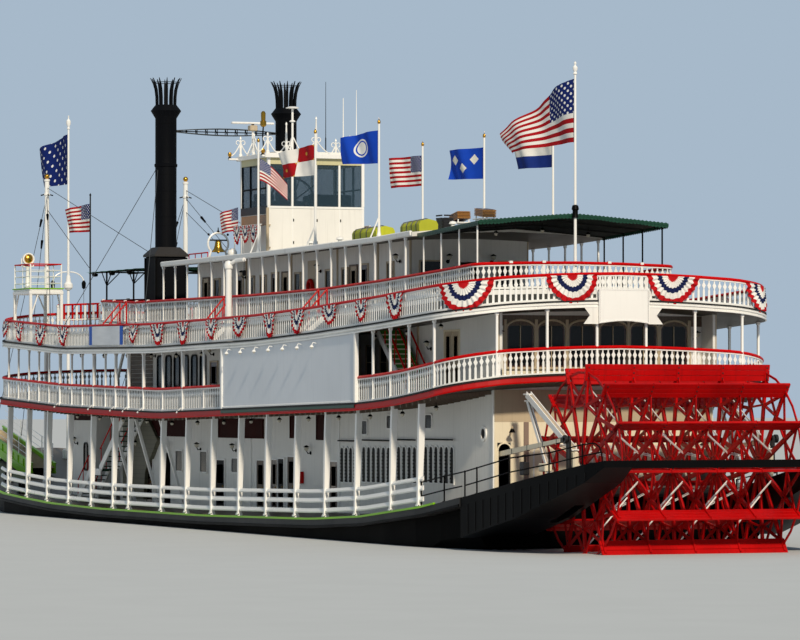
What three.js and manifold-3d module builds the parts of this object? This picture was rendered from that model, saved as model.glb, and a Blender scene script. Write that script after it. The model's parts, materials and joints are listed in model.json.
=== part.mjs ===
import * as THREE from 'three';
import { mergeVertices } from 'three/addons/utils/BufferGeometryUtils.js';
import Module from 'manifold-3d';

const wasm = await Module();
wasm.setup();

// A stern-wheel excursion steamer as a scale model at 1:10, so 100 mm here is one metre of the real boat.
// x runs forward from the wheel's axle, y to port and z up from the water. The last lines of the file
// lift the boat so that its flat bottom stands on z = 0, centred over the origin.

const GAP = 0.3;

// Hull and wheel
const DRAUGHT = 183;
const HALF_BEAM = 700;
const STEM_X = 7600;
const TRANSOM_X = 430;
const GUARD_DROP = 8;
const WHEEL_RADIUS = 381;
const WHEEL_HALF_WIDTH = 378;
const WHEEL_FRAMES = 5;
const WHEEL_ARMS = 13;
const FIRST_ARM_DEG = 99;
const AXLE_Z = 319;
const SHAFT_RADIUS = 14;
const CRANK_THROW = 100;
const RUDDER_STOCK_X = 540;
const RUDDER_SPACING = 300;

// The tapered beams that carry the wheel
const TIMBER_END_X = -485;
const TIMBER_INNER_Y = 388;
const CRANK_SLOT = { x: 125, inner: 411, outer: 450 };
const PITMAN_Y = 434;

// Decks: slab thickness, camber at the middle, and where each one ends
const MAIN_SLAB = 35;
const DECK_SLAB = 25;
const ROOF_SLAB = 18;
const DECK_AFT_X = 420;
const BOILER_DECK_FORWARD_X = 6360;
const HURRICANE_DECK_FORWARD_X = 6320;
const TEXAS_AFT_X = 830;
const TEXAS_FORWARD_X = 5450;
const TEXAS_HALF = 440;
const ROOF_AFT_X = 1480;
const ROOF_FORWARD_X = 4520;
const CANOPY_AFT_X = 868;
const CANOPY_HALF = 404;
const RAIL_HEIGHT = 100;
const POST_SPACING = 330;
const FIRST_POST_X = 770;

// Houses: half width and wall
const MAIN_HOUSE = { aft: 590, forward: 5000, half: 460, wall: 12 };
const SALOON = { aft: 650, forward: 4880, half: 456, wall: 12, wingAft: 550 };
const TEXAS_HOUSE = { aft: 1900, forward: 4480, half: 260, wall: 10 };
const PILOTHOUSE = { aft: 3650, forward: 3990, half: 226, wall: 8, sill: 1428, head: 1615, top: 1646 };

// A box larger than the boat, for cutting tools
const REACH = { aft: -600, forward: 7800, half: 800, low: -300, high: 2300 };

// Height of each deck's edge above the water: [x, z]
const MAIN_SHEER = [
  [-500, 350], [-180, 300], [310, 214], [750, 154], [1360, 103], [1900, 80], [3230, 61], [4600, 58],
  [5350, 67], [6160, 98], [6600, 132], [7000, 185], [7400, 245], [7700, 285],
];
const BOILER_SHEER = [
  [400, 632], [700, 594], [1050, 565], [1400, 548], [2700, 525], [3800, 506], [5200, 530], [6400, 575],
];
const HURRICANE_SHEER = [
  [400, 903], [700, 889], [1200, 863], [1900, 834], [2600, 813],
  [3900, 797], [5200, 806], [6100, 848], [6400, 864],
];
const TEXAS_SHEER = [
  [800, 972], [1230, 952], [1770, 930], [2440, 910], [3310, 902], [4900, 902], [5500, 922],
];
const ROOF_SHEER = [[800, 1229], [1400, 1200], [1900, 1184], [3250, 1164], [4550, 1157]];

// Every surface is a sheer line plus a camber, so its cells are flat and two copies of it never cross.
const ACROSS = [-760, -480, -240, 0, 240, 480, 760];

function lineAt(table, x) {
  const last = table.length - 1;
  if (x <= table[0][0]) return table[0][1];
  if (x >= table[last][0]) return table[last][1];
  const i = table.findIndex(([at]) => at >= x);
  const [[x0, z0], [x1, z1]] = [table[i - 1], table[i]];
  return z0 + ((z1 - z0) * (x - x0)) / (x1 - x0);
}

function deckSurface(sheer, camber) {
  const rise = ACROSS.map((y) => [y, camber * (1 - (y / HALF_BEAM) ** 2)]);
  return { stations: sheer.map(([x]) => x), at: (x, y) => lineAt(sheer, x) + lineAt(rise, y) };
}

const mainTop = deckSurface(MAIN_SHEER, 35);
const boilerTop = deckSurface(BOILER_SHEER, 35);
const hurricaneTop = deckSurface(HURRICANE_SHEER, 40);
const texasTop = deckSurface(TEXAS_SHEER, 24);
const roofTop = deckSurface(ROOF_SHEER, 60);

function raised(surface, rise) {
  return { stations: surface.stations, at: (x, y) => surface.at(x, y) + rise };
}

function level(z) {
  return { stations: [REACH.aft, REACH.forward], at: () => z };
}

// Solids
function solidOf(geometry) {
  geometry.deleteAttribute('normal');
  geometry.deleteAttribute('uv');
  const merged = mergeVertices(geometry, 1e-3);
  return new wasm.Manifold(new wasm.Mesh({
    numProp: 3,
    vertProperties: Float32Array.from(merged.attributes.position.array),
    triVerts: Uint32Array.from(merged.index.array),
  }));
}

function geometryOf(solid) {
  const mesh = solid.getMesh();
  const geometry = new THREE.BufferGeometry();
  geometry.setAttribute('position', new THREE.BufferAttribute(mesh.vertProperties, 3));
  geometry.setIndex(new THREE.BufferAttribute(mesh.triVerts, 1));
  return geometry;
}

function join(...solids) {
  return solids.flat().reduce((whole, piece) => whole.add(piece));
}

function box(x0, x1, y0, y1, z0, z1) {
  const geometry = new THREE.BoxGeometry(x1 - x0, y1 - y0, z1 - z0);
  return solidOf(geometry.translate((x0 + x1) / 2, (y0 + y1) / 2, (z0 + z1) / 2));
}

function rod(from, to, radius, sides = 6, endRadius = radius) {
  const a = new THREE.Vector3(...from);
  const b = new THREE.Vector3(...to);
  const geometry = new THREE.CylinderGeometry(endRadius, radius, a.distanceTo(b), sides);
  const direction = b.clone().sub(a).normalize();
  const turn = new THREE.Quaternion().setFromUnitVectors(new THREE.Vector3(0, 1, 0), direction);
  const middle = a.add(b).multiplyScalar(0.5);
  return solidOf(geometry.applyQuaternion(turn).translate(middle.x, middle.y, middle.z));
}

// A flat bar between two points [x, z] of a fore-and-aft plane, from y0 to y1
function bar(from, to, depth, y0, y1) {
  const length = Math.hypot(to[0] - from[0], to[1] - from[1]);
  const geometry = new THREE.BoxGeometry(length, y1 - y0, depth);
  geometry.rotateY(-Math.atan2(to[1] - from[1], to[0] - from[0]));
  return solidOf(geometry.translate((from[0] + to[0]) / 2, (y0 + y1) / 2, (from[1] + to[1]) / 2));
}

// A shape in plan, extruded through the boat's whole height
function upright(shape) {
  const depth = REACH.high - REACH.low;
  const geometry = new THREE.ExtrudeGeometry(shape, { depth, bevelEnabled: false, curveSegments: 4 });
  return solidOf(geometry.translate(0, 0, REACH.low));
}

function column(x0, x1, y0, y1) {
  return box(x0, x1, y0, y1, REACH.low, REACH.high);
}

// The space between two surfaces, as a box whose grid of vertices is moved onto them
function layer(under, over) {
  const stations = new Set([REACH.aft, ...under.stations, ...over.stations, REACH.forward]);
  const along = [...stations].sort((a, b) => a - b);
  const geometry = new THREE.BoxGeometry(1, 1, 1, along.length - 1, ACROSS.length - 1, 1);
  const position = geometry.attributes.position;
  for (let i = 0; i < position.count; i += 1) {
    const x = along[Math.round((position.getX(i) + 0.5) * (along.length - 1))];
    const y = ACROSS[Math.round((position.getY(i) + 0.5) * (ACROSS.length - 1))];
    const surface = position.getZ(i) < 0 ? under : over;
    position.setXYZ(i, x, y, surface.at(x, y));
  }
  return solidOf(geometry);
}

function between(solid, under, over) {
  return solid.intersect(layer(under, over));
}

// A deck's outline in plan with round corners, drawn in from its edge by an inset
function plan(aft, forward, half, corner, inset = 0) {
  const [x0, x1, y1, r] = [aft + inset, forward - inset, half - inset, corner - inset];
  const shape = new THREE.Shape();
  shape.absarc(x1 - r, y1 - r, r, 0, Math.PI / 2);
  shape.absarc(x0 + r, y1 - r, r, Math.PI / 2, Math.PI);
  shape.absarc(x0 + r, -y1 + r, r, Math.PI, Math.PI * 1.5);
  shape.absarc(x1 - r, -y1 + r, r, Math.PI * 1.5, Math.PI * 2);
  return upright(shape);
}

function houseWalls({ aft, forward, half, wall }) {
  const outside = column(aft, forward, -half, half);
  return outside.subtract(column(aft + wall, forward - wall, -half + wall, half - wall));
}

// Openings cut on the port side and mirrored to starboard: [x0, x1, y0, y1, z0, z1]
function cutBoth(solid, openings) {
  return openings.reduce((rest, opening) => {
    const cut = box(...opening);
    return rest.subtract(cut).subtract(cut.mirror([0, 1, 0]));
  }, solid);
}

const sides = [['port', 1], ['starboard', -1]];

function halfOf(solid, side) {
  const [y0, y1] = side > 0 ? [GAP / 2, REACH.half] : [-REACH.half, -GAP / 2];
  return solid.intersect(column(REACH.aft, REACH.forward, y0, y1));
}

function mirrored(solid, side) {
  return side > 0 ? solid : solid.mirror([0, 1, 0]);
}

// The scene graph
const boat = new THREE.Group();

function material(colour, roughness, metalness = 0) {
  return new THREE.MeshStandardMaterial({ color: colour, roughness, metalness });
}

const white = material('#f0eee8', 0.5);
const black = material('#141516', 0.45);
const red = material('#bf1212', 0.45);
const green = material('#2f7d46', 0.6);
const iron = material('#3a3b3d', 0.5, 0.6);
const brass = material('#c79a35', 0.3, 0.9);

function place(name, solid, finish, parent = boat) {
  const mesh = new THREE.Mesh(geometryOf(solid), finish);
  mesh.name = name;
  parent.add(mesh);
  return mesh;
}

// Main deck in plan: [x, half width]
const MAIN_PLAN = [
  [TRANSOM_X, 672], [800, HALF_BEAM], [5800, HALF_BEAM], [6200, 688], [6600, 628],
  [7000, 500], [7300, 340], [7500, 190], [STEM_X, 70],
];

function mainPlan(inset, aft = TRANSOM_X) {
  const edge = MAIN_PLAN.map(([x, half]) => [x, half - inset]).filter(([x]) => x > aft);
  const port = [[aft, lineAt(MAIN_PLAN, aft) - inset], ...edge];
  const outline = [...port.map(([x, y]) => [x, -y]), ...port.reverse()];
  return upright(new THREE.Shape(outline.map(([x, y]) => new THREE.Vector2(x, y))));
}

// Hull sections: [x, half width at the deck, half width of the bottom, height of the bottom]
const HULL = [
  [TRANSOM_X, 600, 560, 12], [700, 640, 600, -15], [900, 660, 625, -90], [1200, 668, 640, -160],
  [1500, 670, 650, -DRAUGHT], [5800, 670, 650, -DRAUGHT], [6300, 640, 560, -DRAUGHT],
  [6800, 520, 380, -DRAUGHT], [7200, 350, 200, -165], [7450, 190, 80, -100], [7570, 60, 25, 30],
];
const BILGE_RISE = 45;
const HULL_LOFT_TOP = 340;

// The loft is a box whose vertices are moved onto the sections, in three rows: bottom, bilge and top.
function hull() {
  const geometry = new THREE.BoxGeometry(1, 1, 1, HULL.length - 1, 1, 2);
  const position = geometry.attributes.position;
  for (let i = 0; i < position.count; i += 1) {
    const section = Math.round((position.getX(i) + 0.5) * (HULL.length - 1));
    const [x, deckHalf, bottomHalf, bottom] = HULL[section];
    const row = Math.round((position.getZ(i) + 0.5) * 2);
    const half = [bottomHalf, deckHalf - GUARD_DROP, deckHalf][row];
    const z = [bottom, bottom + BILGE_RISE, HULL_LOFT_TOP][row];
    position.setXYZ(i, x, Math.sign(position.getY(i)) * half, z);
  }
  return between(solidOf(geometry), level(-DRAUGHT - 10), raised(mainTop, -MAIN_SLAB - GAP));
}

place('hull', hull(), black);
place('main_deck', between(mainPlan(0), raised(mainTop, -MAIN_SLAB), mainTop), black);

// Wheel-carrying timbers: [x, outer half width, depth below the deck edge]
const TIMBER = [
  [TIMBER_END_X, 500, 24], [-390, 536, 66], [-180, 580, 102], [30, 622, 133], [TRANSOM_X - GAP, 668, 150],
];
const BEARING = { half: 26, y0: 391, y1: 409, top: 372 };

const TIMBER_TOP = TIMBER.map(([x]) => [x, lineAt(MAIN_SHEER, x)]);
const timberTop = { stations: TIMBER.map(([x]) => x), at: (x) => lineAt(TIMBER_TOP, x) };

function timber() {
  const geometry = new THREE.BoxGeometry(1, 1, 1, TIMBER.length - 1, 1, 1);
  const position = geometry.attributes.position;
  for (let i = 0; i < position.count; i += 1) {
    const [x, outer, depth] = TIMBER[Math.round((position.getX(i) + 0.5) * (TIMBER.length - 1))];
    const top = lineAt(TIMBER_TOP, x);
    const y = position.getY(i) > 0 ? outer : TIMBER_INNER_Y;
    position.setXYZ(i, x, y, position.getZ(i) > 0 ? top : top - depth);
  }
  const slot = box(-CRANK_SLOT.x, CRANK_SLOT.x, CRANK_SLOT.inner, CRANK_SLOT.outer, 0, 400);
  const block = box(-BEARING.half, BEARING.half, BEARING.y0, BEARING.y1, 200, BEARING.top);
  const bore = rod([0, 300, AXLE_Z], [0, 500, AXLE_Z], SHAFT_RADIUS + 1, 12);
  return solidOf(geometry).subtract(slot).add(block).subtract(bore);
}

// White braces from the deck above down to the wheel's bearings and to the timbers
// Columns: [top x, top z, foot x, foot z, depth]
const BRACES = [[412, 585, 0, BEARING.top + 8, 14], [412, 566, 190, 252, 10]];
const BRACE = { y0: 393, y1: 407, headAft: 398, headForward: 426, headLow: 555 };
const underBoiler = raised(boilerTop, -DECK_SLAB - GAP);

function brace() {
  const { y0, y1, headAft, headForward, headLow } = BRACE;
  const bars = BRACES.map(([x0, z0, x1, z1, depth]) => bar([x1, z1], [x0, z0], depth, y0, y1));
  const head = box(headAft, headForward, y0, y1, headLow, 650);
  const foot = box(-20, 30, y0, y1, BEARING.top + GAP, BEARING.top + 14);
  const bearing = box(-BEARING.half - 4, BEARING.half + 4, 380, 420, 0, BEARING.top + GAP);
  return between(join(bars, head, foot).subtract(bearing), raised(timberTop, GAP), underBoiler);
}

// Each engine has a long rod to its crank, with an eye beside the crank pin.
const ENGINE = { aft: 950, forward: 1380, y0: 404, y1: 446, top: 345, rodZ: 322 };
const PITMAN = { half: 5, depth: 18, eye: 16 };

function engine() {
  const { aft, forward, y0, y1, top, rodZ } = ENGINE;
  const [inner, outer] = [PITMAN_Y - PITMAN.half, PITMAN_Y + PITMAN.half];
  const pinZ = AXLE_Z + CRANK_THROW;
  const cylinder = box(aft, forward, y0, y1, 0, top);
  const pitman = bar([0, pinZ], [aft + 10, rodZ], PITMAN.depth, inner, outer);
  const eye = rod([0, inner, pinZ], [0, outer, pinZ], PITMAN.eye, 12);
  return between(join(cylinder, pitman, eye), raised(mainTop, GAP), level(800));
}

for (const [name, side] of sides) {
  place(`wheel_timber_${name}`, mirrored(timber(), side), black);
  place(`wheel_brace_${name}`, mirrored(brace(), side), white);
  place(`engine_${name}`, mirrored(engine(), side), iron);
}
const GUARD_BEAM = { aft: TIMBER_END_X + 2, forward: TIMBER_END_X + 26, low: 320, high: 348 };
const beamHalf = TIMBER_INNER_Y - GAP;
place('wheel_guard_beam', box(
  GUARD_BEAM.aft, GUARD_BEAM.forward, -beamHalf, beamHalf, GUARD_BEAM.low, GUARD_BEAM.high,
), black);

const BOILERS = { aft: 3600, forward: 4700, half: 200, top: 330 };
const boilerBlock = column(BOILERS.aft, BOILERS.forward, -BOILERS.half, BOILERS.half);
place('boilers', between(boilerBlock, raised(mainTop, GAP), level(BOILERS.top)), iron);

// The main house has a doorway each side of the wheel that its engine's rod passes through, and doors ahead.
const MAIN_HOUSE_OPENINGS = [
  [560, 620, 392, 448, 0, 400],
  [4300, 4420, 400, 500, 0, 320],
  [4950, 5050, -110, 110, 0, 330],
];
const mainWalls = between(houseWalls(MAIN_HOUSE), raised(mainTop, GAP), underBoiler);
place('main_house', cutBoth(mainWalls, MAIN_HOUSE_OPENINGS), white);

// Square posts at [x, y] places, each `half` its width to a side, from one surface up to another
function postsAt(places, half, under, over) {
  const posts = places.map(([x, y]) => column(x - half, x + half, y - half, y + half));
  return between(join(posts), under, over);
}

// Posts under the boiler deck with rail boards between them
const POST = { half: 9, inset: 22 };
const BOARDS = [[25, 44], [67, 86], [105, 121]];
const LAST_BOARD_X = 6290;

function stanchions() {
  const places = [];
  for (let x = FIRST_POST_X; x < LAST_BOARD_X; x += POST_SPACING) {
    places.push([x, lineAt(MAIN_PLAN, x) - POST.inset]);
  }
  const posts = postsAt(places, POST.half, raised(mainTop, GAP), underBoiler);
  const run = column(FIRST_POST_X, LAST_BOARD_X, 0, REACH.half);
  const strip = mainPlan(POST.inset - 4).subtract(mainPlan(POST.inset + 3)).intersect(run);
  const boards = BOARDS.map(([low, high]) => between(strip, raised(mainTop, low), raised(mainTop, high)));
  return join(posts, boards);
}

// Iron pipe rail along the timbers' outer edges, with posts at these places
const PIPE_RAIL_X = [420, 250, 30, -180, -390, -470];
const PIPE = { radius: 3, inset: 14, low: 45, high: 95 };

function pipeRail() {
  const foot = (x) => [x, lineAt(TIMBER, x) - PIPE.inset, timberTop.at(x)];
  const posts = PIPE_RAIL_X.map((x) => {
    const [, y, z] = foot(x);
    const [inner, outer] = [y - PIPE.radius, y + PIPE.radius];
    return box(x - PIPE.radius, x + PIPE.radius, inner, outer, z - 5, z + PIPE.high + 1);
  });
  const rails = [];
  for (const rise of [PIPE.low, PIPE.high]) {
    for (let i = 1; i < PIPE_RAIL_X.length; i += 1) {
      const [a, b] = [foot(PIPE_RAIL_X[i - 1]), foot(PIPE_RAIL_X[i])];
      rails.push(rod([a[0], a[1], a[2] + rise], [b[0], b[1], b[2] + rise], PIPE.radius, 4));
    }
  }
  return between(join(posts, rails), raised(timberTop, GAP), level(900));
}

for (const [name, side] of sides) {
  place(`guard_stanchions_${name}`, mirrored(stanchions(), side), white);
  place(`pipe_rail_${name}`, mirrored(pipeRail(), side), black);
}

// Boiler deck, the cabin on it and its balustrade
const CORNER = 240;
const boilerPlan = (inset) => plan(DECK_AFT_X, BOILER_DECK_FORWARD_X, HALF_BEAM, CORNER, inset);
const hurricanePlan = (inset) => plan(DECK_AFT_X, HURRICANE_DECK_FORWARD_X, HALF_BEAM, CORNER, inset);
const underHurricane = raised(hurricaneTop, -DECK_SLAB - GAP);

place('boiler_deck', between(boilerPlan(0), raised(boilerTop, -DECK_SLAB), boilerTop), red);

// The cabin's side walls run on aft of its windowed end wall.
const AFT_WINDOW = { half: 56, low: 690, high: 866 };
const SALOON_OPENINGS = [
  ...[65, 195, 325].map((y) => [
    600, 700, y - AFT_WINDOW.half, y + AFT_WINDOW.half, AFT_WINDOW.low, AFT_WINDOW.high,
  ]),
  [930, 1085, 400, 500, 0, 835],
  [4830, 4930, -90, 90, 0, 750],
];

function saloon() {
  const { aft, half, wall, wingAft } = SALOON;
  const wing = column(wingAft, aft + 1, half - wall, half);
  const walls = join(houseWalls(SALOON), wing, mirrored(wing, -1));
  return cutBoth(between(walls, raised(boilerTop, GAP), underHurricane), SALOON_OPENINGS);
}

place('saloon', saloon(), white);

// A balustrade round a deck's edge, as one thin wall because its balusters stand close together
const RAIL = { outer: 12, inner: 17 };

function balustrade(outline, top) {
  const strip = outline(RAIL.outer).subtract(outline(RAIL.inner));
  return between(strip, raised(top, GAP), raised(top, RAIL_HEIGHT));
}

function edgePosts(first, last, spacing, y) {
  const places = [];
  for (let x = first; x <= last; x += spacing) places.push([x, y], [x, -y]);
  return places;
}

const END_PLACES = [[434, 103], [434, 310], [440, 515], [640, 685]];
const END_POSTS = END_PLACES.flatMap(([x, y]) => [[x, y], [x, -y]]);
const DECK_POSTS = edgePosts(FIRST_POST_X, 6100, 2 * POST_SPACING, HALF_BEAM - 14);

function boilerRailing() {
  const posts = postsAt([...DECK_POSTS, ...END_POSTS], 5, raised(boilerTop, GAP), underHurricane);
  return join(balustrade(boilerPlan, boilerTop), posts);
}

// Blank name boards outside the boiler deck's rail, hung from its posts
const NAME_PANEL = { aft: 1420, forward: 2960, height: 240, thick: 5, inset: 8 };

function namePanel() {
  const { aft, forward, height, thick, inset } = NAME_PANEL;
  const y = HALF_BEAM - inset + GAP;
  return between(column(aft, forward, y, y + thick), raised(boilerTop, GAP), raised(boilerTop, height));
}

place('hurricane_deck', between(hurricanePlan(0), raised(hurricaneTop, -DECK_SLAB), hurricaneTop), white);
for (const [name, side] of sides) {
  place(`boiler_deck_railing_${name}`, halfOf(boilerRailing(), side), white);
  place(`name_panel_${name}`, mirrored(namePanel(), side), white);
  place(`hurricane_deck_railing_${name}`, halfOf(balustrade(hurricanePlan, hurricaneTop), side), white);
}

// Blank board on the after rail, hung by a batten
const SIGN = { aft: DECK_AFT_X - 12, face: DECK_AFT_X - 6, half: 105, low: 852, high: 985 };
const SIGN_BATTEN = { half: 60, low: SIGN.high + 15, high: SIGN.high + 25 };
place('stern_sign', join(
  box(SIGN.aft, SIGN.face, -SIGN.half, SIGN.half, SIGN.low, SIGN.high),
  box(SIGN.aft, SIGN.face, -SIGN_BATTEN.half, SIGN_BATTEN.half, SIGN.high - 1, SIGN_BATTEN.high),
  box(
    SIGN.face - 1, DECK_AFT_X + RAIL.outer - GAP,
    -SIGN_BATTEN.half, SIGN_BATTEN.half, SIGN_BATTEN.low, SIGN_BATTEN.high,
  ),
), white);

// Raised texas deck, its house, roof and rail
const texasPlan = (inset) => plan(TEXAS_AFT_X, TEXAS_FORWARD_X, TEXAS_HALF, 60, inset);
const underRoof = raised(roofTop, -ROOF_SLAB - GAP);

place('texas_deck', between(texasPlan(0), raised(hurricaneTop, GAP), texasTop), white);
const TEXAS_DOOR = [1880, 1930, -45, 45, 0, 1130];
const texasWalls = between(houseWalls(TEXAS_HOUSE), raised(texasTop, GAP), underRoof);
place('texas_house', texasWalls.subtract(box(...TEXAS_DOOR)), white);

const ROOF_HALF = 430;
const ROOF_POLES = { x: [1930, 2650, 3340], y: 390, top: 1690, radius: 3.5 };

function roofPole(x, y) {
  return rod([x, y, roofTop.at(x, y) - 5], [x, y, ROOF_POLES.top], ROOF_POLES.radius);
}

const roofPlan = column(ROOF_AFT_X, ROOF_FORWARD_X, -ROOF_HALF, ROOF_HALF);
place('texas_roof', join(
  between(roofPlan, raised(roofTop, -ROOF_SLAB), roofTop),
  ROOF_POLES.x.flatMap((x) => [roofPole(x, ROOF_POLES.y), roofPole(x, -ROOF_POLES.y)]),
), white);

// The canopy over the after end of the texas deck stands on its own thin posts.
function canopy() {
  const top = column(CANOPY_AFT_X, ROOF_AFT_X - GAP, -CANOPY_HALF, CANOPY_HALF);
  const slab = between(top, raised(roofTop, -ROOF_SLAB + 4), raised(roofTop, 2));
  const places = edgePosts(900, 1440, 180, CANOPY_HALF - 8);
  return slab.add(postsAt(places, 3, raised(texasTop, GAP), raised(roofTop, -4)));
}

place('stern_canopy', canopy(), green);

function texasRailing() {
  const posts = postsAt(edgePosts(1560, 4500, 490, TEXAS_HALF - 15), 4, raised(texasTop, GAP), underRoof);
  return balustrade(texasPlan, texasTop).add(posts);
}

place('texas_railing', texasRailing(), white);

// Pilothouse: walls to the sill, then corner posts and mullions, four panes across and two along
const PANE_POST = 8;
const CORNER_POST = 12;
const PILOT_DOOR_HALF = 30;

function pilothouse() {
  const { aft, forward, half, wall, sill, head, top } = PILOTHOUSE;
  let walls = between(houseWalls(PILOTHOUSE), raised(roofTop, GAP), level(top));
  const bay = (2 * half - 2 * CORNER_POST + PANE_POST) / 4;
  for (let i = 0; i < 4; i += 1) {
    const y = -half + CORNER_POST + i * bay;
    walls = walls.subtract(box(aft - 20, forward + 20, y, y + bay - PANE_POST, sill, head));
  }
  const run = (forward - aft - 2 * CORNER_POST + PANE_POST) / 2;
  for (const x of [aft + CORNER_POST, aft + CORNER_POST + run]) {
    walls = walls.subtract(box(x, x + run - PANE_POST, -half - 20, half + 20, sill, head));
  }
  return walls.subtract(box(aft - 20, aft + wall + 10, -PILOT_DOOR_HALF, PILOT_DOOR_HALF, 0, sill - 60));
}

const PILOT_ROOF = { overhang: 18, thick: 18, crown: 30, crownInset: 68, crownHalf: 170 };
const pilotRoofTop = PILOTHOUSE.top + PILOT_ROOF.thick;

function pilothouseRoof() {
  const { overhang, crown, crownInset, crownHalf } = PILOT_ROOF;
  const { aft, forward, half, top } = PILOTHOUSE;
  const [x0, x1, y1] = [aft - overhang, forward + overhang, half + overhang];
  const eaves = box(x0, x1, -y1, y1, top + GAP, pilotRoofTop);
  const raisedPart = [x0 + crownInset, x1 - crownInset, -crownHalf, crownHalf, pilotRoofTop - 4, top + crown];
  return eaves.add(box(...raisedPart));
}

place('pilothouse', pilothouse(), white);
place('pilothouse_roof', pilothouseRoof(), white);

// Chimneys turned about their axes: [radius, z]
const CHIMNEY = { x: 4820, y: 302, base: 75, baseTop: 1240 };
const CHIMNEY_PROFILE = [
  [0, 1235], [82, 1235], [82, 1248], [56, 1275], [50, 1300], [50, 1660], [54, 1664], [54, 1676], [50, 1680],
  [50, 1900], [72, 1916], [72, 1928], [52, 1940], [60, 1990], [70, 2050], [0, 2050],
];

function turned(profile, x, y, segments = 12) {
  const points = profile.map(([radius, z]) => new THREE.Vector2(radius, z));
  const geometry = new THREE.LatheGeometry(points, segments).rotateX(Math.PI / 2);
  return solidOf(geometry.translate(x, y, 0));
}

function chimney() {
  const { x, y, base, baseTop } = CHIMNEY;
  const foot = postsAt([[x, y]], base, raised(texasTop, GAP), level(baseTop));
  return foot.add(turned(CHIMNEY_PROFILE, x, y));
}

// The strut between the chimneys is thickest at its middle.
const SPREADER = { z: 1826, end: 5, middle: 16 };
const spreaderEnd = CHIMNEY.y - 50 - GAP;
const spreaderPoint = (y) => [CHIMNEY.x, y, SPREADER.z];
place('chimney_spreader', join(
  rod(spreaderPoint(-spreaderEnd), spreaderPoint(1), SPREADER.end, 8, SPREADER.middle),
  rod(spreaderPoint(-1), spreaderPoint(spreaderEnd), SPREADER.middle, 8, SPREADER.end),
), iron);

// Foredeck gear: masts, stages and the jackstaff
const MAST = { x: 6440, y: 370, radius: 13, top: 1675, ball: 15, shoe: 26, shoeHeight: 24 };
const STAGE = { heelX: 6660, heelZ: 215, tipX: 7560, tipZ: 400, y0: 250, y1: 380, depth: 26 };
const STAGE_LEG = { x0: 6720, x1: 6760, inset: 8 };

function mast() {
  const { x, y, radius, top, ball, shoe, shoeHeight } = MAST;
  const post = rod([x, y, 0], [x, y, top], radius, 8);
  const head = solidOf(new THREE.SphereGeometry(ball, 8, 6).translate(x, y, top + 10));
  const foot = box(x - shoe, x + shoe, y - shoe, y + shoe, 0, mainTop.at(x, y) + shoeHeight);
  return between(join(post, head, foot), raised(mainTop, GAP), level(REACH.high));
}

function stage() {
  const { heelX, heelZ, tipX, tipZ, y0, y1, depth } = STAGE;
  const ramp = bar([heelX, heelZ], [tipX, tipZ], depth, y0, y1);
  const { x0, x1, inset } = STAGE_LEG;
  const legs = box(x0, x1, y0 + inset, y1 - inset, 0, heelZ + 10);
  return between(join(ramp, legs), raised(mainTop, GAP), level(REACH.high));
}

const PLATFORM = { x0: 5930, x1: 6200, y0: 450, y1: 620, floor: 1096, floorThick: 10, rim: 1228 };
const PLATFORM_RAIL = { width: 12, depth: 8 };
const LIGHT = { x: 6060, y: 570, rise: 30, radius: 26, half: 20, post: 6 };

function searchlightPlatform() {
  const { x0, x1, y0, y1, floor, floorThick, rim } = PLATFORM;
  const { width, depth } = PLATFORM_RAIL;
  const frame = column(x0, x1, y0, y1).subtract(column(x0 + width, x1 - width, y0 + width, y1 - width));
  const corners = [x0 + 6, x1 - 6].flatMap((x) => [[x, y0 + 6], [x, y1 - 6]]);
  const lampZ = rim + LIGHT.rise;
  return join(
    box(x0, x1, y0, y1, floor, floor + floorThick),
    between(frame, level(rim - depth), level(rim)),
    postsAt(corners, 5, raised(hurricaneTop, GAP), level(rim)),
    rod([LIGHT.x, LIGHT.y, floor], [LIGHT.x, LIGHT.y, lampZ - 20], LIGHT.post),
    rod([LIGHT.x - LIGHT.half, LIGHT.y, lampZ], [LIGHT.x + LIGHT.half, LIGHT.y, lampZ], LIGHT.radius, 10),
  );
}

for (const [name, side] of sides) {
  place(`chimney_${name}`, mirrored(chimney(), side), black);
  place(`derrick_mast_${name}`, mirrored(mast(), side), white);
  place(`landing_stage_${name}`, mirrored(stage(), side), green);
  place(`searchlight_platform_${name}`, mirrored(searchlightPlatform(), side), white);
}

const JACKSTAFF = { x: 7230, top: 2025, radius: 8, topRadius: 5, block: 24, blockTop: 290 };

function jackstaff() {
  const { x, top, radius, topRadius, block, blockTop } = JACKSTAFF;
  const pole = rod([x, 0, 0], [x, 0, top], radius, 8, topRadius);
  const foot = box(x - block, x + block, -block, block, 0, blockTop);
  return between(pole.add(foot), raised(mainTop, GAP), level(REACH.high));
}

place('jackstaff', jackstaff(), white);

const ENSIGN_STAFF = { x: 856, top: 1880, radius: 5, topRadius: 4 };

function ensignStaff() {
  const { x, top, radius, topRadius } = ENSIGN_STAFF;
  const pole = rod([x, 0, 900], [x, 0, top], radius, 8, topRadius);
  return between(pole, raised(texasTop, GAP), level(REACH.high));
}

place('ensign_staff', ensignStaff(), white);

// Awning ahead of the chimneys, on four posts
const AWNING = { aft: 4930, forward: 5670, half: 420, z: 1182, thick: 8, postX: [5000, 5400], postY: 400 };

function awning() {
  const { aft, forward, half, z, thick, postX, postY } = AWNING;
  const places = postX.flatMap((x) => [[x, postY], [x, -postY]]);
  const posts = postsAt(places, 4, raised(texasTop, GAP), level(z + thick / 2));
  return posts.add(box(aft, forward, -half, half, z, z + thick));
}

place('forward_awning', awning(), green);

// Roof bell in its frame. Profile of the bell: [radius, height above the roof]
const BELL = { x: 4380, y: 200, frameHalf: 46, cheek: 10, beamLow: 50, beamHigh: 60, base: 12 };
const BELL_PROFILE = [[0, 20], [30, 20], [24, 34], [16, 60], [0, 66]];

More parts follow.
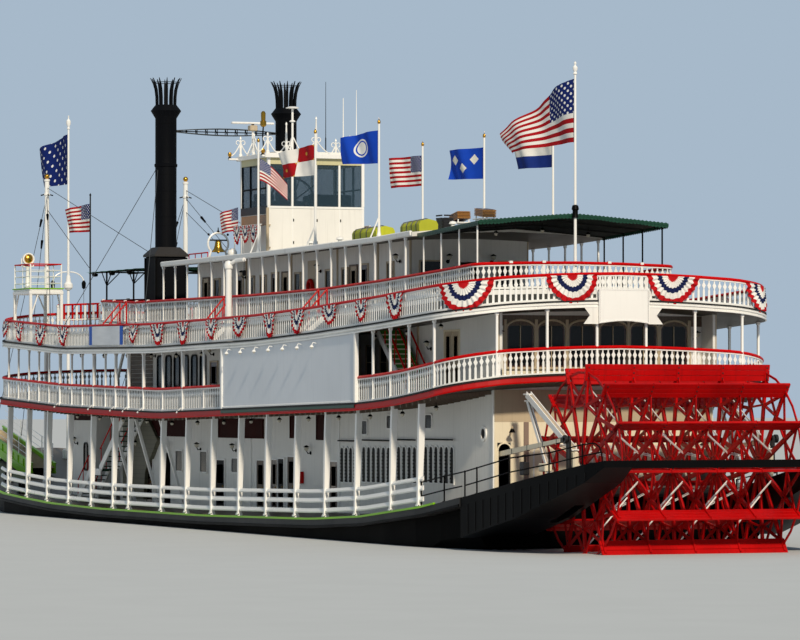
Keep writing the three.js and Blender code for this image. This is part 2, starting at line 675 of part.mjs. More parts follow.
function roofBell() {
  const { x, y, frameHalf, cheek, beamLow, beamHigh, base } = BELL;
  const foot = roofTop.at(x, y);
  const cheeks = [y - frameHalf, y + frameHalf - cheek];
  const slab = column(x - 20, x + 20, y - frameHalf - 4, y + frameHalf + 4);
  return join(
    turned(BELL_PROFILE.map(([radius, z]) => [radius, z + foot]), x, y),
    box(x - 6, x + 6, y - frameHalf, y + frameHalf, foot + beamLow, foot + beamHigh),
    cheeks.map((y0) => box(x - 12, x + 12, y0, y0 + cheek, foot + 6, foot + beamHigh)),
    between(slab, raised(roofTop, GAP), level(foot + base)),
  );
}

place('roof_bell', roofBell(), brass);

// Radar post on the pilothouse roof, and the radar bar that turns on it
const RADAR = { x: 3950, y: 190, top: 1806, radius: 5, motor: 18, motorHeight: 26 };

function radarMast() {
  const { x, y, top, radius, motor, motorHeight } = RADAR;
  const post = rod([x, y, pilotRoofTop + GAP], [x, y, top], radius, 8);
  return post.add(box(x - motor, x + motor, y - motor, y + motor, top - motorHeight, top));
}

place('radar_mast', radarMast(), white);

// Stairs that climb forward from the boiler deck to the hurricane deck, beside the saloon
const STAIRS = { lowX: 1195, highX: 1500, y0: 472, y1: 572, steps: 12, tread: 26, string: 6 };

function stairs() {
  const { lowX, highX, y0, y1, steps, tread, string } = STAIRS;
  const low = [lowX, boilerTop.at(lowX, y0) + 6];
  const high = [highX, hurricaneTop.at(highX, y0) - DECK_SLAB - 9];
  const treads = [];
  for (let i = 0; i < steps; i += 1) {
    const share = i / (steps - 1);
    const x = low[0] + (high[0] - low[0]) * share;
    const z = low[1] + (high[1] - low[1]) * share;
    treads.push(box(x - tread / 2, x + tread / 2, y0 + 2, y1 - 2, z - 2, z + 2));
  }
  const strings = [y0, y1 - string].map((y) => bar(high, low, 22, y, y + string));
  return between(join(treads, strings), raised(boilerTop, GAP), underHurricane);
}

for (const [name, side] of sides) place(`after_stairs_${name}`, mirrored(stairs(), side), green);

// What turns: the wheel about its axle, the rudders about their stocks, the radar bar about its post
const wheel = new THREE.Group();
wheel.position.set(0, 0, AXLE_Z);
boat.add(wheel);

const HUB = { outer: 40, half: 9 };
const ARM = { half: 5, thick: 8 };
const BOARD = { height: 62, half: 5 };
const BAND = { radius: WHEEL_RADIUS - BOARD.height / 2, half: 4, width: 6 };
const frameSpan = 2 * (WHEEL_HALF_WIDTH - HUB.half - 4);
const CRANK = { inner: 414, outer: 423, pinEnd: 427, half: 17, pin: 8 };

function crank(side) {
  const { inner, outer, pinEnd, half, pin } = CRANK;
  const cheek = box(-half, half, inner, outer, -half - 3, CRANK_THROW);
  const pinRod = rod([0, inner, CRANK_THROW], [0, pinEnd, CRANK_THROW], pin, 12);
  return mirrored(cheek.add(pinRod), side);
}

const shaft = rod([0, -CRANK.outer + 3, 0], [0, CRANK.outer - 3, 0], SHAFT_RADIUS, 12);
place('wheel_shaft', join(shaft, crank(1), crank(-1)), iron, wheel);

function armAngle(i) {
  return THREE.MathUtils.degToRad(FIRST_ARM_DEG + (i * 360) / WHEEL_ARMS);
}

// A point [x, z] at a distance from the axle along one arm
function alongArm(i, distance) {
  return [Math.cos(armAngle(i)) * distance, Math.sin(armAngle(i)) * distance];
}

function ringOf(radius, half, y0, y1) {
  const outer = rod([0, y0, 0], [0, y1, 0], radius + half, WHEEL_ARMS);
  return outer.subtract(rod([0, y0 - 1, 0], [0, y1 + 1, 0], radius - half, WHEEL_ARMS));
}

function wheelFrame(y) {
  const [y0, y1] = [y - ARM.thick / 2, y + ARM.thick / 2];
  const arms = [];
  for (let i = 0; i < WHEEL_ARMS; i += 1) {
    const reach = WHEEL_RADIUS - BOARD.height - GAP;
    arms.push(bar(alongArm(i, HUB.outer - 10), alongArm(i, reach), 2 * ARM.half, y0, y1));
  }
  const hub = rod([0, y - HUB.half, 0], [0, y + HUB.half, 0], HUB.outer, WHEEL_ARMS);
  const bore = rod([0, y - 2 * HUB.half, 0], [0, y + 2 * HUB.half, 0], SHAFT_RADIUS + GAP, 12);
  return join(hub, arms).subtract(bore);
}

for (let i = 0; i < WHEEL_FRAMES; i += 1) {
  const y = -frameSpan / 2 + (frameSpan * i) / (WHEEL_FRAMES - 1);
  place(`wheel_frame_${i + 1}`, wheelFrame(y), red, wheel);
}

function paddleBoards() {
  const boards = [];
  for (let i = 0; i < WHEEL_ARMS; i += 1) {
    const [inner, outer] = [alongArm(i, WHEEL_RADIUS - BOARD.height), alongArm(i, WHEEL_RADIUS)];
    boards.push(bar(inner, outer, 2 * BOARD.half, -WHEEL_HALF_WIDTH, WHEEL_HALF_WIDTH));
  }
  const { radius, half, width } = BAND;
  const bandAt = (y) => ringOf(radius, half, y - width / 2, y + width / 2);
  return join(boards, bandAt(-frameSpan / 2), bandAt(frameSpan / 2));
}

place('paddle_boards', paddleBoards(), red, wheel);

// Rudders hang under the hull's rising stern, each from its stock.
const RUDDERS = [['port', RUDDER_SPACING], ['center', 0], ['starboard', -RUDDER_SPACING]];
const BLADE = { aft: -200, forward: 140, half: 6, low: -165, high: -42 };
const STOCK = { radius: 10, low: -60, high: -0.6 };

for (const [name, y] of RUDDERS) {
  const rudder = new THREE.Group();
  rudder.position.set(RUDDER_STOCK_X, y, 0);
  boat.add(rudder);
  const blade = box(BLADE.aft, BLADE.forward, -BLADE.half, BLADE.half, BLADE.low, BLADE.high);
  const stock = rod([0, 0, STOCK.low], [0, 0, STOCK.high], STOCK.radius, 12);
  place(`rudder_${name}`, blade.add(stock), iron, rudder);
}

const scanner = new THREE.Group();
scanner.position.set(RADAR.x, RADAR.y, RADAR.top);
boat.add(scanner);
const SCANNER = { half: 102, width: 8, low: 4, high: 14, pivot: 9 };
const scannerBar = box(-SCANNER.width, SCANNER.width, -SCANNER.half, SCANNER.half, SCANNER.low, SCANNER.high);
const scannerPivot = rod([0, 0, GAP], [0, 0, SCANNER.low + 2], SCANNER.pivot, 12);
place('radar_scanner', scannerBar.add(scannerPivot), white, scanner);

// Stand the boat on its bottom, centred in plan
boat.position.set(-(TIMBER_END_X + STEM_X) / 2, 0, DRAUGHT);

const group = new THREE.Group();
group.add(boat);
export default group;
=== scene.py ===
"""Stern-wheel paddle steamer, afloat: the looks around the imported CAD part.

Shapes are written in full-size metres: u forward of the wheel's axle, y to port, z above the water.
A piece is brought to the frame (a tenth of that size) when it is finished.
"""

import json
from math import atan2, cos, hypot, pi, radians, sin

import bmesh
import bpy
from mathutils import Matrix, Vector
from mathutils.bvhtree import BVHTree

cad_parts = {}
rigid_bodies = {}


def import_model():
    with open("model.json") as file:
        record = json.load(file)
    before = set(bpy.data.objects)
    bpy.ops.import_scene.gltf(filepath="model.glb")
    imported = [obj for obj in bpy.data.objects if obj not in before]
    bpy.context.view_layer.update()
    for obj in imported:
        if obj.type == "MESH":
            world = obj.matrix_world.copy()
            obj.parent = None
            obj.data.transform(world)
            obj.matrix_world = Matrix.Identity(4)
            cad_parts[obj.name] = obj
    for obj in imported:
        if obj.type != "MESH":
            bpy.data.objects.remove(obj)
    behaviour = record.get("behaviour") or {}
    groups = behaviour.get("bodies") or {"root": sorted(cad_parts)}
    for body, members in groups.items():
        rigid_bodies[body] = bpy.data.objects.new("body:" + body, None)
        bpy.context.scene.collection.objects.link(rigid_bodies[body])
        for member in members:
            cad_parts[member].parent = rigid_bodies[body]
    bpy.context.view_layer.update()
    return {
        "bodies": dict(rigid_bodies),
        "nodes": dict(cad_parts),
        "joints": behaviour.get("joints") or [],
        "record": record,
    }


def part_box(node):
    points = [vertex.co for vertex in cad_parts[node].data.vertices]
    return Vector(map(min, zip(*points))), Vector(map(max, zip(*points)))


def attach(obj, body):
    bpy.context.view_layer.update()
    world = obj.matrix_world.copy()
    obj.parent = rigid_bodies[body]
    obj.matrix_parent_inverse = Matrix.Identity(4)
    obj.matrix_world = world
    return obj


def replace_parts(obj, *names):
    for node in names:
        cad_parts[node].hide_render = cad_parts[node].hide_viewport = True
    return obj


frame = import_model()
NODES = frame["nodes"]

SCALE = 0.1
WATER = 0.183
AXLE_X = -3.5575
TO_FRAME = Matrix.Translation((AXLE_X, 0, WATER)) @ Matrix.Scale(SCALE, 4)
UP = Vector((0, 0, 1))


def link(name, data):
    """A new object in the scene."""
    made = bpy.data.objects.new(name, data)
    bpy.context.scene.collection.objects.link(made)
    return made


def direction(heading, height):
    """A unit vector from a heading in degrees from +X and an angle above level."""
    level = cos(radians(height))
    return Vector((cos(radians(heading)) * level, sin(radians(heading)) * level, sin(radians(height))))


# Camera at the photograph's viewing angle: low, off the port quarter
VIEW_HEADING, VIEW_PITCH = -22.3, 1.0026
camera = link("camera", bpy.data.cameras.new("camera"))
bpy.context.scene.camera = camera
camera.location = (-18.2875, 7.13, 0.758)
camera.rotation_euler = direction(VIEW_HEADING, VIEW_PITCH).to_track_quat("-Z", "Y").to_euler()
camera.data.lens = 198
camera.data.sensor_width = 36
camera.data.clip_end = 400


# Materials
PALETTE = []


def hex_colour(code):
    """An sRGB hex code as a linear colour."""
    parts = [int(code[i:i + 2], 16) / 255 for i in (1, 3, 5)]
    return tuple(p / 12.92 if p <= 0.04045 else ((p + 0.055) / 1.055) ** 2.4 for p in parts) + (1.0,)


def add(tree, kind, inputs=(), out=0, stops=(), **settings):
    """Adds a node with its settings and links, and returns one of its outputs. A kind may end in the
    operation it does. A ramp's stops are greys that blend, or hex codes that meet in hard edges."""
    kind, _, operation = kind.partition(" ")
    made = tree.nodes.new("ShaderNode" + kind)
    if operation:
        made.operation = operation
    for key, value in settings.items():
        setattr(made, key, value)
    if stops:
        ramp = made.color_ramp
        hard = isinstance(stops[0][1], str)
        ramp.interpolation = "CONSTANT" if hard else "LINEAR"
        ramp.elements[0].position, ramp.elements[1].position = stops[0][0], stops[-1][0]
        for position, _ in stops[1:-1]:
            ramp.elements.new(position)
        for element, (_, value) in zip(ramp.elements, stops):
            element.color = hex_colour(value) if hard else (value, value, value, 1)
    for key, value in (inputs if isinstance(inputs, dict) else dict(enumerate(inputs))).items():
        if isinstance(value, bpy.types.NodeSocket):
            tree.links.new(value, made.inputs[key])
        else:
            made.inputs[key].default_value = value
    return made.outputs[out]


# What a Mix node needs to blend two colours
COLOURS = {"out": 2, "data_type": "RGBA"}


def start(name):
    """A new material, its node tree, its shader and its object coordinates."""
    made = bpy.data.materials.new(name)
    made.use_nodes = True
    PALETTE.append(made)
    tree = made.node_tree
    return tree, tree.nodes["Principled BSDF"], add(tree, "TexCoord", out=3)


def joint(tree, coords, axis, pitch, width):
    """1 on the thin joints between boards laid at a pitch along an axis, 0 on the boards."""
    along_axis = add(tree, "SeparateXYZ", (coords,), axis)
    board = add(tree, "Math DIVIDE", (along_axis, pitch))
    share = add(tree, "Math FRACT", (board,))
    return add(tree, "Math LESS_THAN", (share, width))


# Scales of the patches of tone, the rain streaks and the grain, and the grain's depth in the frame
PATCHES, STREAKS, GRAIN, GRAIN_DEPTH = 4.0, (95, 95, 4), 260.0, 0.0006


def weathered(tree, shader, coords, colour, rough, drift, streak, dirt, grain, seam=None):
    """Wires a paint's slow drift of tone, its rain streaks, its uneven gloss and its grain."""
    patches = add(tree, "TexNoise", {"Vector": coords, "Scale": PATCHES, "Detail": 5.0})
    dark = add(tree, "Mix", {0: 1.0, 6: colour, 7: hex_colour("#808080")}, blend_type="MULTIPLY", **COLOURS)
    share = add(tree, "ValToRGB", (patches,), stops=[(0.35, drift), (0.65, 0.0)])
    tone = add(tree, "Mix", {0: share, 6: colour, 7: dark}, **COLOURS)
    runs = add(tree, "Mapping", {0: coords, 3: STREAKS})
    streaks = add(tree, "TexNoise", {"Vector": runs, "Scale": 1.0, "Detail": 3.0})
    share = add(tree, "ValToRGB", (streaks,), stops=[(0.52, 0.0), (0.78, streak)])
    tone = add(tree, "Mix", {0: share, 6: tone, 7: hex_colour(dirt)}, **COLOURS)
    height = add(tree, "TexNoise", {"Vector": coords, "Scale": GRAIN, "Detail": 2.0})
    if seam:
        line = joint(tree, coords, *seam)
        faint = add(tree, "Math MULTIPLY", (line, 0.55))
        tone = add(tree, "Mix", {0: faint, 6: tone, 7: dark}, **COLOURS)
        height = add(tree, "Math SUBTRACT", (height, line))
    gloss = add(tree, "Math MULTIPLY_ADD", (patches, 0.25, rough - 0.12))
    bump = add(tree, "Bump", {"Strength": grain, "Distance": GRAIN_DEPTH, "Height": height})
    for socket, value in (("Base Color", tone), ("Roughness", gloss), ("Normal", bump)):
        tree.links.new(value, shader.inputs[socket])


def paint(name, colour, rough=0.42, drift=0.25, streak=0.12, dirt="#7d7466", grain=0.25, seam=None,
          **shine):
    """A painted surface. `shine` holds constants for the shader's own sockets."""
    tree, shader, coords = start(name)
    weathered(tree, shader, coords, hex_colour(colour), rough, drift, streak, dirt, grain, seam)
    for key, value in shine.items():
        shader.inputs[key.replace("_", " ")].default_value = value
    return len(PALETTE) - 1


def deck_paint(name, top, edge, under, plank=0.012):
    """A deck: painted planks on top, its fascia's colour on the edge, and underneath a dark colour that is
    painted shade.
    """
    tree, shader, coords = start(name)
    facing_up = add(tree, "SeparateXYZ", (add(tree, "NewGeometry", out=1),), 2)
    up = add(tree, "Math GREATER_THAN", (facing_up, 0.5))
    down = add(tree, "Math LESS_THAN", (facing_up, -0.5))
    colour = add(tree, "Mix", {0: up, 6: hex_colour(edge), 7: hex_colour(top)}, **COLOURS)
    # Faces turned down take the dark underside colour: painted shade under the deck
    colour = add(tree, "Mix", {0: down, 6: colour, 7: hex_colour(under)}, **COLOURS)
    flat = add(tree, "Math ADD", (up, down))
    line = add(tree, "Math MULTIPLY", (joint(tree, coords, 1, plank, 0.1), flat))
    faint = add(tree, "Math MULTIPLY", (line, 0.5))
    colour = add(tree, "Mix", {0: faint, 6: colour, 7: hex_colour("#1c1b18")}, **COLOURS)
    weathered(tree, shader, coords, colour, 0.5, 0.3, 0.12, "#5d564b", 0.3)
    return len(PALETTE) - 1


# Chalky rain-streaked white over timber, seen everywhere on the upper works
WHITE = paint("white_oil_paint_on_wood", "#F3F1EB", 0.45, 0.1, 0.14)
# Whiter and glossier than the walls, with hardly a streak
TRIM = paint("gloss_white_enamel", "#F8F7F3", 0.3, 0.06, 0.06, grain=0.12)
RED = paint("red_gloss_enamel", "#C80404", 0.4, 0.2, 0.06, "#5a0a08", 0.1, Specular_IOR_Level=0.12)
# The wheel's red is dulled by water: dark runs and a rough, soaked grain
WHEEL_RED = paint("red_enamel_on_wet_oak", "#C40507", 0.4, 0.45, 0.3, "#4d1210", 0.5,
                  Specular_IOR_Level=0.15)
LIME = paint("lime_green_enamel", "#8ACB12", 0.35, 0.25, 0.1, "#4f6a1d", 0.15)
GREEN = paint("dark_green_enamel", "#0B4530", 0.36, 0.3, 0.1, "#0b2c1e", 0.15)
STEP_GREEN = paint("grass_green_deck_paint", "#3E9A1E", 0.5, 0.25, 0.2, "#1d3d12", 0.3)
# Grey-buff wharf dust lies in long runs down a nearly black gloss, over plate seams
HULL = paint("black_enamel_on_steel_plate", "#050505", 0.55, 0.3, 0.12, "#1c1b19", 0.4, (0, 0.24, 0.012),
             Specular_IOR_Level=0.03)
BLACK = paint("black_enamel_on_iron", "#060607", 0.45, 0.3, 0.08, "#1e1c19", 0.2, Specular_IOR_Level=0.08)
# Flat black that takes a brown bloom where it is hot
STACK = paint("heat_resisting_black_paint", "#0A0C11", 0.6, 0.35, 0.15, "#221e1b", 0.35, (2, 0.12, 0.02),
              Specular_IOR_Level=0.08)
SCORCHED = paint("heat_browned_black_paint", "#2B2725", 0.65, 0.4, 0.3, "#14110f", 0.4)
CREAM = paint("cream_oil_paint", "#F4E8CC", 0.46, 0.14, 0.16, "#9b8a66")
# Olive-grey lapped boards close in the fore stair
OLIVE = paint("olive_paint_on_lapped_boards", "#6F6C58", 0.5, 0.25, 0.2, "#3a3728", seam=(2, 0.02, 0.1))
# Flat dark red on the panels in the guards' shade
MAROON = paint("flat_maroon_paint", "#3A130F", 0.7, 0.4, 0.2, "#1a0c0a", Specular_IOR_Level=0.1)
BUFF = paint("buff_oil_paint", "#C9B79A", 0.42, 0.2, 0.15, "#6e5f49")
TAUPE = paint("taupe_oil_paint", "#8F7B70", 0.45, 0.2, 0.15, "#5c4f47")
# Brown-grey boards: painted shade, the tone boards take where the deck above keeps them in shade
SHADE = paint("umber_painted_shade_on_boards", "#6E5F50", 0.5, 0.3, 0.2, "#2f2822", seam=(1, 0.015, 0.1))
MAHOGANY = paint("varnished_mahogany", "#4A241A", 0.28, 0.5, 0.35, "#1d0e0a", 0.3, Coat_Weight=0.4)
PALE_BLUE = paint("pale_blue_grey_enamel", "#E3E7EC", 0.33, 0.08, 0.08, "#8b929b", 0.1)
IRON = paint("oiled_cast_iron", "#3A3A3C", 0.38, 0.4, 0.3, "#1b1712", 0.5, Metallic=0.7)
GOLD = paint("gold_leaf_on_copper", "#D9A441", 0.26, 0.25, 0.05, "#8c5a1e", 0.15, Metallic=1.0)
BRASS = paint("lacquered_brass", "#C89B3C", 0.25, 0.3, 0.1, "#7a5a22", 0.15, Metallic=1.0)
WIRE = paint("galvanised_wire_rope", "#55585B", 0.5, 0.3, 0.1, "#2a2b2c", 0.8, Metallic=0.5)
OPAL = paint("opal_lamp_glass", "#EDE6D2", 0.2, 0.05, 0.05, "#b9ac8b", 0.05, Transmission_Weight=0.2)
# Dark rooms behind clean panes: nearly black, with a hard shine
GLASS = paint("window_glass", "#0B0E11", 0.16, 0.5, 0.08, "#2b3236", 0.04, Specular_IOR_Level=0.35)
# Blue-grey panes: their blue is a painted reflection of the sky
SEA_GLASS = paint("window_glass_with_painted_sky_reflection", "#33454F", 0.14, 0.5, 0.3, "#101A20", 0.04,
                  Specular_IOR_Level=0.4)
# Sky shows through the pilothouse from side to side, so its panes stay clear with a blue cast
PANE = paint("clear_blue_tinted_glass", "#3B5262", 0.1, 0.2, 0.1, "#27383F", 0.03, Alpha=0.4)
STRAW = paint("straw_oil_paint", "#D8D2A6", 0.42, 0.2, 0.2, "#5f523b")
TEAK = paint("varnished_teak", "#B57C36", 0.3, 0.45, 0.3, "#4a2b12", 0.3, Coat_Weight=0.3)
COVER = paint("yellow_green_tarpaulin", "#C3C723", 0.55, 0.35, 0.2, "#6d7018", 0.6)
# Near black: painted shade of the unlit insides where it fills louvres, the porthole and doorways; it also
# lines the deck edges and the canopy's rafters
DARK = paint("near_black_with_painted_shade", "#0B0B0C", 0.7, 0.3, 0.1, "#1d1b19")
CANVAS = paint("green_waterproofed_canvas", "#1F8A5E", 0.75, 0.3, 0.15, "#0d2e21", 0.9)
# The last colour of each is its underside: dark, as painted shade under the decks; the canopy's is near
# black
MAIN_DECK = deck_paint("main_deck_paint_and_black_edge", "#6B5F52", "#131415", "#141414")
BOILER_DECK = deck_paint("deck_paint_and_red_fascia", "#7C8276", "#CC0606", "#33291F")
HURRICANE_DECK = deck_paint("deck_paint_and_white_fascia", "#8B8F86", "#F3F1EB", "#352C22")
TEXAS_DECK = deck_paint("deck_paint_and_dark_edge", "#8B8F86", "#3B3D39", "#352C22")
ROOF = deck_paint("canvas_roof_and_white_fascia", "#B9BAB3", "#F6F4EE", "#574B3D")
CANOPY = deck_paint("canvas_canopy_and_green_edge", "#C8C8C0", "#1C7A4B", "#1A1B19", 0.04)


# Shapes
SHARP_FROM = radians(32)


class Piece:
    """One new piece, in full-size metres, with its palette numbers as face material numbers."""

    def __init__(self, name, body="root"):
        self.name = name
        self.body = body
        self.shape = bmesh.new()

    def add(self, small, material, place=None):
        """Adds a small shape in one material, moved to its place."""
        if place:
            small.transform(place)
        if material is not None:
            for face in small.faces:
                face.material_index = material
        mesh = bpy.data.meshes.new("small")
        small.to_mesh(mesh)
        small.free()
        self.shape.from_mesh(mesh)
        bpy.data.meshes.remove(mesh)

    def box(self, low, high, material, bevel=0.0, place=None):
        low, high = Vector(low), Vector(high)
        small = bmesh.new()
        bmesh.ops.create_cube(small, size=1)
        small.transform(Matrix.Translation((low + high) / 2) @ Matrix.Diagonal((*(high - low), 1)))
        if bevel:
            bmesh.ops.bevel(small, geom=small.edges[:], offset=bevel, segments=1, profile=0.5,
                            affect="EDGES", material=-1)
        self.add(small, material, place)

    def post(self, u, y, half_u, half_y, low, high, material, bevel=0.0):
        """An upright box round a place."""
        self.box((u - half_u, y - half_y, low), (u + half_u, y + half_y, high), material, bevel)

    def bar(self, a, b, width, depth, material, bevel=0.0):
        """A rectangular bar from a to b: `width` level across it, `depth` the other way."""
        place, length = along(a, b)
        self.box((-width / 2, -depth / 2, 0), (width / 2, depth / 2, length), material, bevel, place)

    def rod(self, a, b, radius, material, sides=8, end=None):
        place, length = along(a, b)
        small = bmesh.new()
        bmesh.ops.create_cone(small, cap_ends=True, segments=sides, radius1=radius,
                              radius2=radius if end is None else end, depth=length)
        self.add(small, material, place @ Matrix.Translation((0, 0, length / 2)))

    def rods(self, points, radius, material, sides=8):
        for a, b in zip(points, points[1:]):
            self.rod(a, b, radius, material, sides)

    def ball(self, at, radius, material, detail=10):
        small = bmesh.new()
        bmesh.ops.create_uvsphere(small, u_segments=detail, v_segments=detail // 2 + 1, radius=radius)
        self.add(small, material, Matrix.Translation(at))

    def turned(self, profile, at, material, steps=16, axis=UP):
        """A profile of (radius, height) spun about an axis through a place."""
        small = bmesh.new()
        verts = [small.verts.new((r, 0, h)) for r, h in profile]
        edges = [small.edges.new(pair) for pair in zip(verts, verts[1:])]
        bmesh.ops.spin(small, geom=verts + edges, cent=(0, 0, 0), axis=(0, 0, 1), angle=2 * pi,
                       steps=steps, use_merge=True)
        bmesh.ops.remove_doubles(small, verts=small.verts[:], dist=1e-5)
        place = Matrix.Translation(at) @ UP.rotation_difference(Vector(axis)).to_matrix().to_4x4()
        self.add(small, material, place)

    def bolt(self, at, radius, rim, height, axis=UP):
        """A six-sided bolt head with a raised middle."""
        self.turned([(0, 0), (radius, 0), (radius, rim), (0, height)], at, IRON, 6, axis)

    def flange(self, at, radius, neck, height, material):
        """A cone-shaped foot for a post."""
        self.turned([(0, 0), (radius, 0), (neck, height), (0, height)], at, material, 10)

    def loft(self, rings, material, cap=True):
        """A skin bridged from ring to ring of points."""
        small = bmesh.new()
        loops = []
        for ring in rings:
            verts = [small.verts.new(point) for point in ring]
            loops.append([small.edges.new(pair) for pair in zip(verts, verts[1:] + verts[:1])])
        for first, second in zip(loops, loops[1:]):
            bmesh.ops.bridge_loops(small, edges=first + second)
        if cap:
            for loop in (loops[0], loops[-1]):
                bmesh.ops.contextual_create(small, geom=loop)
        self.add(small, material)

    def strip(self, path, outline, material):
        """An outline of (outward, up) points swept along a path of (point, outward)."""
        self.loft([[point + out * side + UP * rise for side, rise in outline] for point, out in path],
                  material)

    def plate(self, outline, thick, material, place, border=0.0, recess=0.0, inside=None):
        """A flat plate cut to an outline, with a border round a sunk inner face."""
        small = bmesh.new()
        face = small.faces.new([small.verts.new((x, y, 0)) for x, y in outline])
        sides = bmesh.ops.extrude_face_region(small, geom=[face])["geom"]
        top = [item for item in sides if isinstance(item, bmesh.types.BMFace)][0]
        bmesh.ops.translate(small, vec=(0, 0, thick), verts=top.verts[:])
        for each in small.faces:
            each.material_index = material
        if border:
            bmesh.ops.inset_region(small, faces=[top], thickness=border, depth=0.0, use_even_offset=True)
            bmesh.ops.inset_region(small, faces=[top], thickness=0.001, depth=-recess, use_even_offset=True)
            top.material_index = material if inside is None else inside
        self.add(small, None, place)

    def mesh(self):
        """The shape as a mesh to stamp many times."""
        made = bpy.data.meshes.new(self.name)
        self.shape.to_mesh(made)
        self.shape.free()
        return made

    def stamp(self, mesh, places):
        for place in places:
            count = len(self.shape.verts)
            self.shape.from_mesh(mesh)
            new = self.shape.verts[count:]
            bmesh.ops.transform(self.shape, matrix=place, verts=new)

    def done(self, replaces=(), slot=None, both=False):
        """Finishes the piece; `both` gives it a name for its side and a mirrored twin to starboard."""
        if both:
            twin = Piece(self.name + "_starboard", self.body)
            twin.shape = self.shape.copy()
            bmesh.ops.scale(twin.shape, vec=(1, -1, 1), verts=twin.shape.verts[:])
            twin.done([node + "_starboard" for node in replaces], slot)
            self.name += "_port"
            return self.done([node + "_port" for node in replaces], slot)
        used = sorted({face.material_index for face in self.shape.faces})
        for face in self.shape.faces:
            face.material_index = used.index(face.material_index)
        bmesh.ops.recalc_face_normals(self.shape, faces=self.shape.faces[:])
        self.shape.transform(TO_FRAME)
        mesh = bpy.data.meshes.new(self.name)
        self.shape.to_mesh(mesh)
        self.shape.free()
        for number in used:
            mesh.materials.append(PALETTE[number])
        mesh.shade_smooth()
        mesh.set_sharp_from_angle(angle=SHARP_FROM)
        made = link(self.name, mesh)
        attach(made, self.body)
        if replaces:
            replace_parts(made, *replaces)
        return made


def build(name, *replaces, slot="white_paint", both=False, body="root"):
    """Builds a piece with the function below it, as soon as that function is defined."""
    def run(shape):
        piece = Piece(name, body)
        shape(piece)
        piece.done(replaces, slot, both)
        return shape
    return run


def along(a, b):
    """Places local +Z along a line from a to b, with local X level, and gives its length."""
    a, b = Vector(a), Vector(b)
    line = (b - a).normalized()
    across = line.cross(UP)
    across = across.normalized() if across.length > 1e-4 else Vector((1, 0, 0))
    turn = Matrix((across, line.cross(across), line)).transposed().to_4x4()
    return Matrix.Translation(a) @ turn, (b - a).length


def facing(u, y, z, outward):
    """Places a flat shape on a wall: its X runs level, its Y up, its Z outward."""
    out = Vector(outward).normalized()
    turn = Matrix((UP.cross(out), UP, out)).transposed().to_4x4()
    return Matrix.Translation((u, y, z)) @ turn


def rounded(width, height, radius, low=0.0, steps=4):
    """An outline standing on `low`, with its corners rounded."""
    half = width / 2
    points = []
    for x, y, start_angle in ((half, low, -90), (half, low + height, 0), (-half, low + height, 90),
                              (-half, low, 180)):
        cx, cy = x - radius * (1 if x > 0 else -1), y + radius * (1 if y == low else -1)
        for i in range(steps + 1):
            angle = radians(start_angle + 90 * i / steps)
            points.append((cx + radius * cos(angle), cy + radius * sin(angle)))
    return points


def arched(width, height, rise, steps=8):
    """An outline with square feet and an arch of a given rise on top."""
    half, spring = width / 2, height - rise
    arch = [(half * cos(a), spring + rise * sin(a)) for a in angles(steps, steps)]
    return [(-half, 0), (half, 0)] + arch


def oblong(left, right, low, high):
    return [(left, low), (right, low), (right, high), (left, high)]


# Where the tall things stand: u and y, to port
CHIMNEY_AT, MAST_AT, STAIR_POLE_AT = (48.2, 3.02), (64.4, 3.7), (61.9, 2.23)
ROOF_POLES, ROOF_POLES_Y = (19.3, 26.5, 33.4), 3.9
JACKSTAFF_U, ENSIGN_STAFF_U = 72.3, 8.56


class Surface:
    """Heights on CAD nodes, in full-size metres."""

    def __init__(self, *names):
        verts, faces = [], []
        for name in names:
            mesh = NODES[name].data
            faces += [[i + len(verts) for i in face.vertices] for face in mesh.polygons]
            verts += [vertex.co.copy() for vertex in mesh.vertices]
        self.tree = BVHTree.FromPolygons(verts, faces)

    def cast(self, u, y, start_z, down):
        place = TO_FRAME @ Vector((u, y, start_z))
        hit = self.tree.ray_cast(place, Vector((0, 0, -1 if down else 1)))[0]
        return None if hit is None else (hit.z - WATER) / SCALE

    def top(self, u, y):
        return self.cast(u, y, 40, True)

    def under(self, u, y):
        return self.cast(u, y, -10, False)


MAIN = Surface("main_deck")
BOILER = Surface("boiler_deck")
HURRICANE = Surface("hurricane_deck")
TEXAS = Surface("texas_deck")
TEXAS_ROOF = Surface("texas_roof")


def angles(parts, last, first=0):
    """Angles from `first` to `last`, counted in parts of a half turn."""
    return [pi / parts * i for i in range(first, last + 1)]


def deck_edge(surface, aft, fore, half, corner, inset, gap=1.6):
    """The port half of a deck's edge from its after middle to its fore middle: [(point, outward)]."""
    x0, x1, y1, r = aft + inset, fore - inset, half - inset, corner - inset
    flat = [(x0, 0, -1, 0)]
    flat += [(x0 + r - r * cos(a), y1 - r + r * sin(a), -cos(a), sin(a)) for a in angles(16, 8)]
    flat += [(x1 - r + r * sin(a), y1 - r + r * cos(a), sin(a), cos(a)) for a in angles(16, 8)]
    flat += [(x1, 0, 1, 0)]
    points = []
    for a, b in zip(flat, flat[1:]):
        count = max(1, round(hypot(b[0] - a[0], b[1] - a[1]) / gap))
        points += [[p + (q - p) * i / count for p, q in zip(a, b)] for i in range(count)]
    points.append(flat[-1])
    return [on_deck(surface, *point) for point in points]


def on_deck(surface, u, y, out_u, out_y):
    """A point on a deck's top, found a little inboard if it lies past the deck's edge."""
    for inward in (0.0, 0.05, 0.12, 0.2):
        z = surface.top(u - out_u * inward, y - out_y * inward)
        if z is not None:
            return Vector((u, y, z)), Vector((out_u, out_y, 0)).normalized()
    raise ValueError(f"no deck under {u:.2f}, {y:.2f}")


